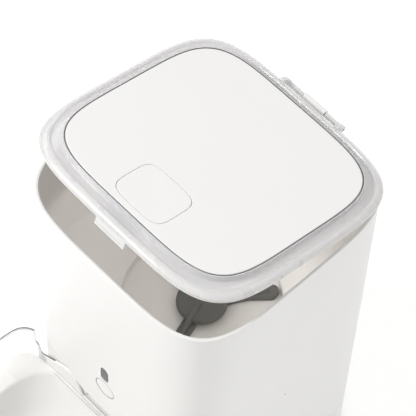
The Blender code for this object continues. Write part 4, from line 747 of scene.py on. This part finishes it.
# %% Lid button
key = rounded([(1.5, 5.7), (1.5, 6.6), (0.0, 6.6), (0.0, COVER_TOP), (-3.0, COVER_TOP - 0.1)], [0.1, 0.1, 0.35], 5)
rings = [button_ring(g, h) for g, h in key]
for share in np.linspace(0.15, 0.95, 8):
    rings.append(button_ring(-3.0 - (BUTTON_Y - 3.2) * share, COVER_TOP - 0.1 - 0.2 * even_s(share, 0.0, 1.0)))
stem = extruded([(-62.2, 6.0), (-62.2, 0.0), (-60.7, 0.0), (-57.6, 3.1), (-57.6, 6.0)], -5.0, 5.0, "X")
lid_key = bare_mesh("lid_key", [skin(rings), stem], on_lid)
dress(lid_key, white_abs, "lid_button", "housing", "lid_button")

# %% [markdown]
# ## Tray and bowl
# The clear tray has high wings that shield the outlet and a low front. Its top edge is one function of the place
# along the outline: high behind, a step down in front of the tower, a notch for the chute and a long sweep forward.
# The clear wall has two more finishes: white where it stands against the tower, and a grey of painted shade along its
# cut edge.

# %% Bowl tray
TRAY_X, TRAY_FRONT, TRAY_BACK, TRAY_MIDDLE = 91.0, 216.5, 84.3, 150.5
TRAY_LOW, TRAY_WALL = BASE_TOP + GAP, 1.8
STEP_AT = [38.0, 48.7, 56.4, 65.3, 72.5, 74.4, 76.8, 79.4]
STEP_TOP = [107, 104.7, 100.7, 96, 93, 93.6, 104, 122]


def tray_ring(inset, count=640):
    """Outline of the tray: power 4 in front, and nearly a rectangle, power 9, behind."""
    return squircle(TRAY_X - inset, TRAY_FRONT - TRAY_MIDDLE - inset, 4.0, 0.0, -TRAY_MIDDLE,
                    back=TRAY_MIDDLE - TRAY_BACK - inset, back_power=9.0, count=count)


def tray_edge(ring):
    """Height of the top edge at each point of an outline: the lowest of the sweep, the step and the notch."""
    across, along = np.abs(ring[:, 0]), ring[:, 1]
    sweep = 92.0 + 30.0 * even_s(along, -195.0, -125.0)
    step = np.interp(across, STEP_AT, STEP_TOP)
    notch = 87.6 + 17.9 * np.clip((across - 31.0) / 8.0, 0.0, 1.0)
    behind_bowl = (along > -TRAY_MIDDLE) & (across < 79.4)
    return np.where(behind_bowl, np.minimum(np.minimum(sweep, step), notch), sweep)


def wall_rows(inset, low, shares):
    """Rows of a wall: its outline at shares of the way from low to 1 mm under the top edge."""
    return [at_height(tray_ring(inset), low + (edge - 1.0 - low) * share) for share in shares]


edge = tray_edge(tray_ring(0.0))
outside = rounded([(6.0, TRAY_LOW), (0.0, TRAY_LOW), (0.0, TRAY_LOW + 6)], 2.0, 6)
inside = rounded([(0.0, TRAY_LOW + 8), (0.0, TRAY_LOW + 2), (6.0, TRAY_LOW + 2)], 2.0, 6)
tray = [at_height(tray_ring(i), h) for i, h in outside]
tray += wall_rows(0.0, TRAY_LOW + 6, np.linspace(0.08, 1.0, 16))
edge_row = len(tray)
for inset, rise in rounded([(0.0, -1.0), (0.0, 0.0), (TRAY_WALL, 0.0), (TRAY_WALL, -1.0)], 0.6, 4)[1:-1]:
    tray.append(at_height(tray_ring(inset), edge + rise))
tray += wall_rows(TRAY_WALL, TRAY_LOW + 8, np.linspace(1.0, 0.0, 16))
tray += [at_height(tray_ring(TRAY_WALL + i), h) for i, h in inside]
bowl_tray = bare_mesh("bowl_tray", [skin(tray)])
dress(bowl_tray, clear_acrylic, "guard", "clear", "bowl_guard")


def back_wall(centres):
    """Faces of the tray that stand against the tower's white front."""
    return (centres[:, 1] - AXIS_Y > -86.8) & (np.abs(centres[:, 0]) < 77.0) & (centres[:, 2] > 60.0)


def top_edge(centres):
    """Faces along the top of the wall, from its outside to past its middle."""
    row = np.arange(len(centres)) // len(edge)
    middle = back_wall(centres) & (np.abs(centres[:, 0]) < 60.0)
    return (row > edge_row) & (row < edge_row + 5) & ~middle


second_finish(bowl_tray, backed_acrylic, back_wall)
# Painted shade: the grey finish darkens the top edge of the clear wall.
second_finish(bowl_tray, painted_edge_shade, top_edge)

# %% [markdown]
# The bowl fills the tray with a flat flange. Its hollow is a stack of superellipses that shrink and round off on the
# way down, and its back wall leans forward under the chute, so that food slides in. A table gives the hollow a few
# sections, and a spline runs through them, because a formula of its own would be harder to fit.

# %% Bowl
BOWL_RIM, BOWL_DEPTH, BOWL_C, BOWL_BACK, BOWL_WALL = 86.0, 36.5, -143.0, 88.1, 1.8
HOLLOW_X, HOLLOW_Y = 73.3, 63.0
BOWL_TABLE = np.array([  # half width, half depth, share of the way down, power
    (1.000, 1.000, 0.000, 4.0), (0.978, 0.975, 0.050, 3.9), (0.930, 0.915, 0.280, 3.3), (0.845, 0.810, 0.580, 2.9),
    (0.715, 0.660, 0.850, 2.6), (0.600, 0.530, 0.960, 2.5), (0.480, 0.400, 1.000, 2.4),
])


def spread_table(table, count):
    """A smooth curve through the rows of a table: a Catmull-Rom spline, sampled count times."""
    ends = np.vstack([2 * table[0] - table[1], table, 2 * table[-1] - table[-2]])
    at = np.linspace(0.0, len(table) - 1.000001, count)
    k = at.astype(int)
    t = (at - k)[:, None]
    a, b, c, d = ends[k], ends[k + 1], ends[k + 2], ends[k + 3]
    return 0.5 * (2 * b + (c - a) * t + (2 * a - 5 * b + 4 * c - d) * t ** 2 + (3 * b - a - 3 * c + d) * t ** 3)


def hollow_ring(across, along, down, power, offset, drop):
    """Ring of the bowl's hollow, cut off behind by a wall that leans forward by 0.35 of the depth."""
    depth = BOWL_DEPTH * down
    ring = squircle(HOLLOW_X * across + offset, HOLLOW_Y * along + offset, power, BOWL_RIM - depth - drop, BOWL_C)
    limit = -BOWL_BACK - 0.35 * depth + offset
    over = ring[:, 1] - limit
    ring[:, 1] = np.where(ring[:, 1] > BOWL_C, ring[:, 1] - (over + np.sqrt(over * over + 1.0)) / 2, ring[:, 1])
    return ring


def flange_ring(inset, height):
    """Outline of the bowl's flange, which follows the tray's."""
    return at_height(tray_ring(inset, AROUND), height)


table = spread_table(BOWL_TABLE, 36)
flange = rounded([(6.0, 84.2), (1.9, 84.2), (1.9, BOWL_RIM), (4.0, BOWL_RIM)], [0.4, 0.5], 5)[1:]
bowl = [hollow_ring(*row, BOWL_WALL, BOWL_WALL) for row in table[::-1][:-2]]
bowl += [flange_ring(i, h) for i, h in flange]
bowl += [hollow_ring(*row, 0.0, 0.0) for row in table]
bowl_body = bare_mesh("bowl_body", [skin(bowl)], sharp=40.0)
foot_profile = [(0.0, 48.6), (0.0, 42.6), (1.8, 42.6), (1.8, 48.6)]
foot_rings = [squircle(35.2 - inset, 25.2 - inset, 2.4, height, BOWL_C) for inset, height in foot_profile]
bowl_foot = bare_mesh("bowl_foot", [skin(foot_rings, close_rows=True)])
baked(bowl_body, [bowl_foot], "UNION", 40.0)
dress(bowl_body, bowl_abs, "bowl", "bowl", "food_bowl")

# %% [markdown]
# ## Button and indicator
# The feed button is a turned form with a shallow dish, level with the wall round it. A grey ring in the seam is
# painted shade: it stands for the shadow in the gap round the button, and the eye finds the white button on the
# white shell by it. The indicator over it is a smoked capsule with a crowned face.

# %% Feed button
FRONT = TOWER_Y
FLANGE_R = BUTTON_R + 1.2
button_corners = [(0.02, 0.2), (BUTTON_R - 1.5, 0.05), (BUTTON_R, 0.02), (BUTTON_R, 2.3), (FLANGE_R, 2.3),
                  (FLANGE_R, 3.5), (0.02, 3.5)]  # radius, and how far behind the front of the wall
button_profile = rounded([(r, back - FRONT) for r, back in button_corners], [1.0, 0.5, 0.1, 0.1, 0.1], 5)
feed_key = bare_mesh("feed_key", [lathe(button_profile, (0, 0, BUTTON_Z), "Y", 96),
                                  lathe([(2.0, -FRONT + 3.0), (2.0, -FRONT + 7.3)], (0, 0, BUTTON_Z), "Y", 24)])
dress(feed_key, white_abs, "feed_button", "housing", "feed_button")
# Painted shade: a grey ring fills the gap round the button, where that gap would lie in shadow.
SEAM_RING_IN, SEAM_RING_OUT, SEAM_RING_PROUD = 8.78, 9.20, -0.05
seam_ring_turn = np.linspace(0, 2 * math.pi, 96, endpoint=False)
seam_shade_rings = [np.stack([r * np.cos(seam_ring_turn), np.full(96, back - FRONT), BUTTON_Z + r * np.sin(seam_ring_turn)], axis=-1)
              for r, back in [(SEAM_RING_IN, 1.9), (SEAM_RING_IN, SEAM_RING_PROUD), (SEAM_RING_OUT, SEAM_RING_PROUD), (SEAM_RING_OUT, 1.9)]]
button_seam_shade = bare_mesh("button_seam_shade", [skin(seam_shade_rings, close_rows=True)])
dress(button_seam_shade, grey_acetal, "base", "silicone")

# %% Indicator
lamp = []  # rings of the lens, each with its inset and how far it lies behind the wall's front
for inset, back in [(0.0, 3.2), (0.0, 0.6), (0.15, 0.38), (0.5, 0.3), (1.2, 0.22), (2.2, 0.18)]:
    outline = capsule(LAMP_X - inset, LAMP_HALF - inset, LAMP_Z, 24)
    lamp.append(np.stack([outline[:, 0], np.full(len(outline), -FRONT + back), outline[:, 1]], axis=-1))
lamp_flange = extruded(capsule(LAMP_X + 1.0, LAMP_HALF + 1.0, LAMP_Z, 24), -FRONT + 2.3, -FRONT + 3.5, "Y")
lamp_lens = bare_mesh("lamp_lens", [skin(lamp), lamp_flange])
dress(lamp_lens, smoked_lens, "base", "smoked", "indicator_lens")

# %% [markdown]
# ## Finishes for the CAD nodes that stay
# Screws, feet, the gearmotor, the boards and the drying box have the right shape already. Each gets the finish of what
# it is made of.

# %% Finishes on CAD nodes
KEPT = {
    white_abs: ["base_cover", "latch_bracket", "desiccant_box", "desiccant_door"],
    foot_rubber: ["foot_1", "foot_2", "foot_3", "foot_4"],
    zinc_steel: ["base_screw_1", "base_screw_2", "base_screw_3", "base_screw_4", "rotor_shaft", "motor_can",
                 "hinge_pin", "latch_spring"],
    grey_acetal: ["dosing_cup", "gearbox_case", "power_inlet"],
    milky_silicone: ["dosing_rotor"],
    hopper_abs: ["outlet_chute"],
    circuit_board: ["control_board", "feed_switch"],
    milky_styrene: ["latch_slider"],
    fleece_bag: ["desiccant_pack"],
}
for finish, names in KEPT.items():
    for name in names:
        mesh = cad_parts[name].data
        mesh.materials.clear()
        mesh.materials.append(finish)
print("CAD nodes kept:", sum(len(names) for names in KEPT.values()))

# %% [markdown]
# ## Floor, light and camera
# A plain white studio, as product photographs have. The world lights everything softly at 0.6 and is seen at 1, pure
# white. The floor glows a little to the camera and to what reflects it or shows through it, and keeps the shadow.

# %% Floor
def seeing_rays(tree):
    """1 for camera, glossy and transmission rays and 0 for those that light things: the largest of three flags."""
    rays = add_node(tree, "ShaderNodeLightPath").outputs
    either = add_node(tree, "ShaderNodeMath", links={0: rays["Is Camera Ray"], 1: rays["Is Glossy Ray"]},
                      operation="MAXIMUM")
    return add_node(tree, "ShaderNodeMath", links={0: either.outputs[0], 1: rays["Is Transmission Ray"]},
                    operation="MAXIMUM").outputs[0]


FLOOR_GLOW = 0.35


def floor_finish():
    """Matt white floor with a little glow of its own for camera, glossy and transmission rays."""
    made = bpy.data.materials.new("studio_floor")
    made.use_nodes = True
    tree = made.node_tree
    tree.nodes.clear()
    glow = add_node(tree, "ShaderNodeMath", {1: FLOOR_GLOW}, {0: seeing_rays(tree)}, operation="MULTIPLY")
    matt = add_node(tree, "ShaderNodeBsdfDiffuse", {"Color": linear("#F6F6F5")})
    light = add_node(tree, "ShaderNodeEmission", {"Color": linear("#FFFFFF")}, {"Strength": glow.outputs[0]})
    both = add_node(tree, "ShaderNodeAddShader", links={0: matt.outputs[0], 1: light.outputs[0]})
    add_node(tree, "ShaderNodeOutputMaterial", links={"Surface": both.outputs[0]})
    return made


floor_mesh = bpy.data.meshes.new("studio_floor")
reach = 6.0  # metres to each side
corners = [(-reach, -reach, 0), (reach, -reach, 0), (reach, reach, 0), (-reach, reach, 0)]
floor_mesh.from_pydata(corners, [], [(0, 1, 2, 3)])
floor = bpy.data.objects.new("studio_floor", floor_mesh)
bpy.context.scene.collection.objects.link(floor)
floor_mesh.materials.append(floor_finish())

# %% [markdown]
# One lamp on the left front models the forms, and a weaker one from the right back fills the shade of the lid. In the
# mouth of the hopper hangs a small card of light, since few rays would find their way in and out of that deep well,
# and its shade would be grey. The lamps are hidden from transmission rays, and fill and card from glossy rays, so that
# no bright squares show in the clear lid.

# %% Light
WORLD_LIGHT = 0.60
world = bpy.data.worlds.new("studio")
bpy.context.scene.world = world
world.use_nodes = True
tree = world.node_tree
background = tree.nodes["Background"]
background.inputs["Color"].default_value = linear("#FFFFFF")
level = add_node(tree, "ShaderNodeMapRange", {"To Min": WORLD_LIGHT, "To Max": 1.0}, {"Value": seeing_rays(tree)})
tree.links.new(level.outputs["Result"], background.inputs["Strength"])


def soft_lamp(name, place, target, size, power):
    """Square area lamp at place, in metres, that faces target."""
    data = bpy.data.lights.new(name, "AREA")
    data.shape = "SQUARE"
    data.size = size
    data.energy = power
    lamp = bpy.data.objects.new(name, data)
    lamp.location = place
    lamp.rotation_euler = (Vector(target) - Vector(place)).to_track_quat("-Z", "Y").to_euler()
    bpy.context.scene.collection.objects.link(lamp)
    return lamp


key = soft_lamp("key_left", (-1.11, -1.28, 1.95), (0.0, 0.0, 0.25), 0.6, 31.0)
fill = soft_lamp("fill_right", (1.34, 1.59, 1.45), (0.0, 0.0, 0.25), 1.2, 8.5)
card = soft_lamp("hopper_card", (0.0, AXIS_Y * MM, 0.262), (0.0, AXIS_Y * MM, 0.0), 0.14, 0.036)
for lamp in (key, fill, card):
    lamp.visible_transmission = False
fill.visible_glossy = False
card.visible_glossy = False
card.visible_camera = False

# %% [markdown]
# The camera stands where a perspective fit of the outlines puts it: high over the right front corner, with a long
# lens. Its place and its axes are written as the fit gave them, with the focal length in pixels of the photo.

# %% Camera
PHOTO_WIDTH, FOCAL_LENGTH = 416, 2169.09
eye = Vector((505.77, -523.94 + AXIS_Y, 1174.50 + RIM)) * MM
forward = Vector((-0.36018, 0.37400, -0.85463)).normalized()
right = forward.cross(Vector((-0.63009, 0.57804, 0.51851))).normalized()
up = right.cross(forward)
camera_data = bpy.data.cameras.new("camera")
camera_data.sensor_width = 36.0
camera_data.lens = FOCAL_LENGTH / PHOTO_WIDTH * camera_data.sensor_width
camera_data.clip_end = 20.0
camera = bpy.data.objects.new("camera", camera_data)
bpy.context.scene.collection.objects.link(camera)
turn = Matrix((right, up, -forward)).transposed().to_4x4()
turn.translation = eye
camera.matrix_world = turn
bpy.context.scene.camera = camera
bpy.context.scene.view_settings.view_transform = "Standard"
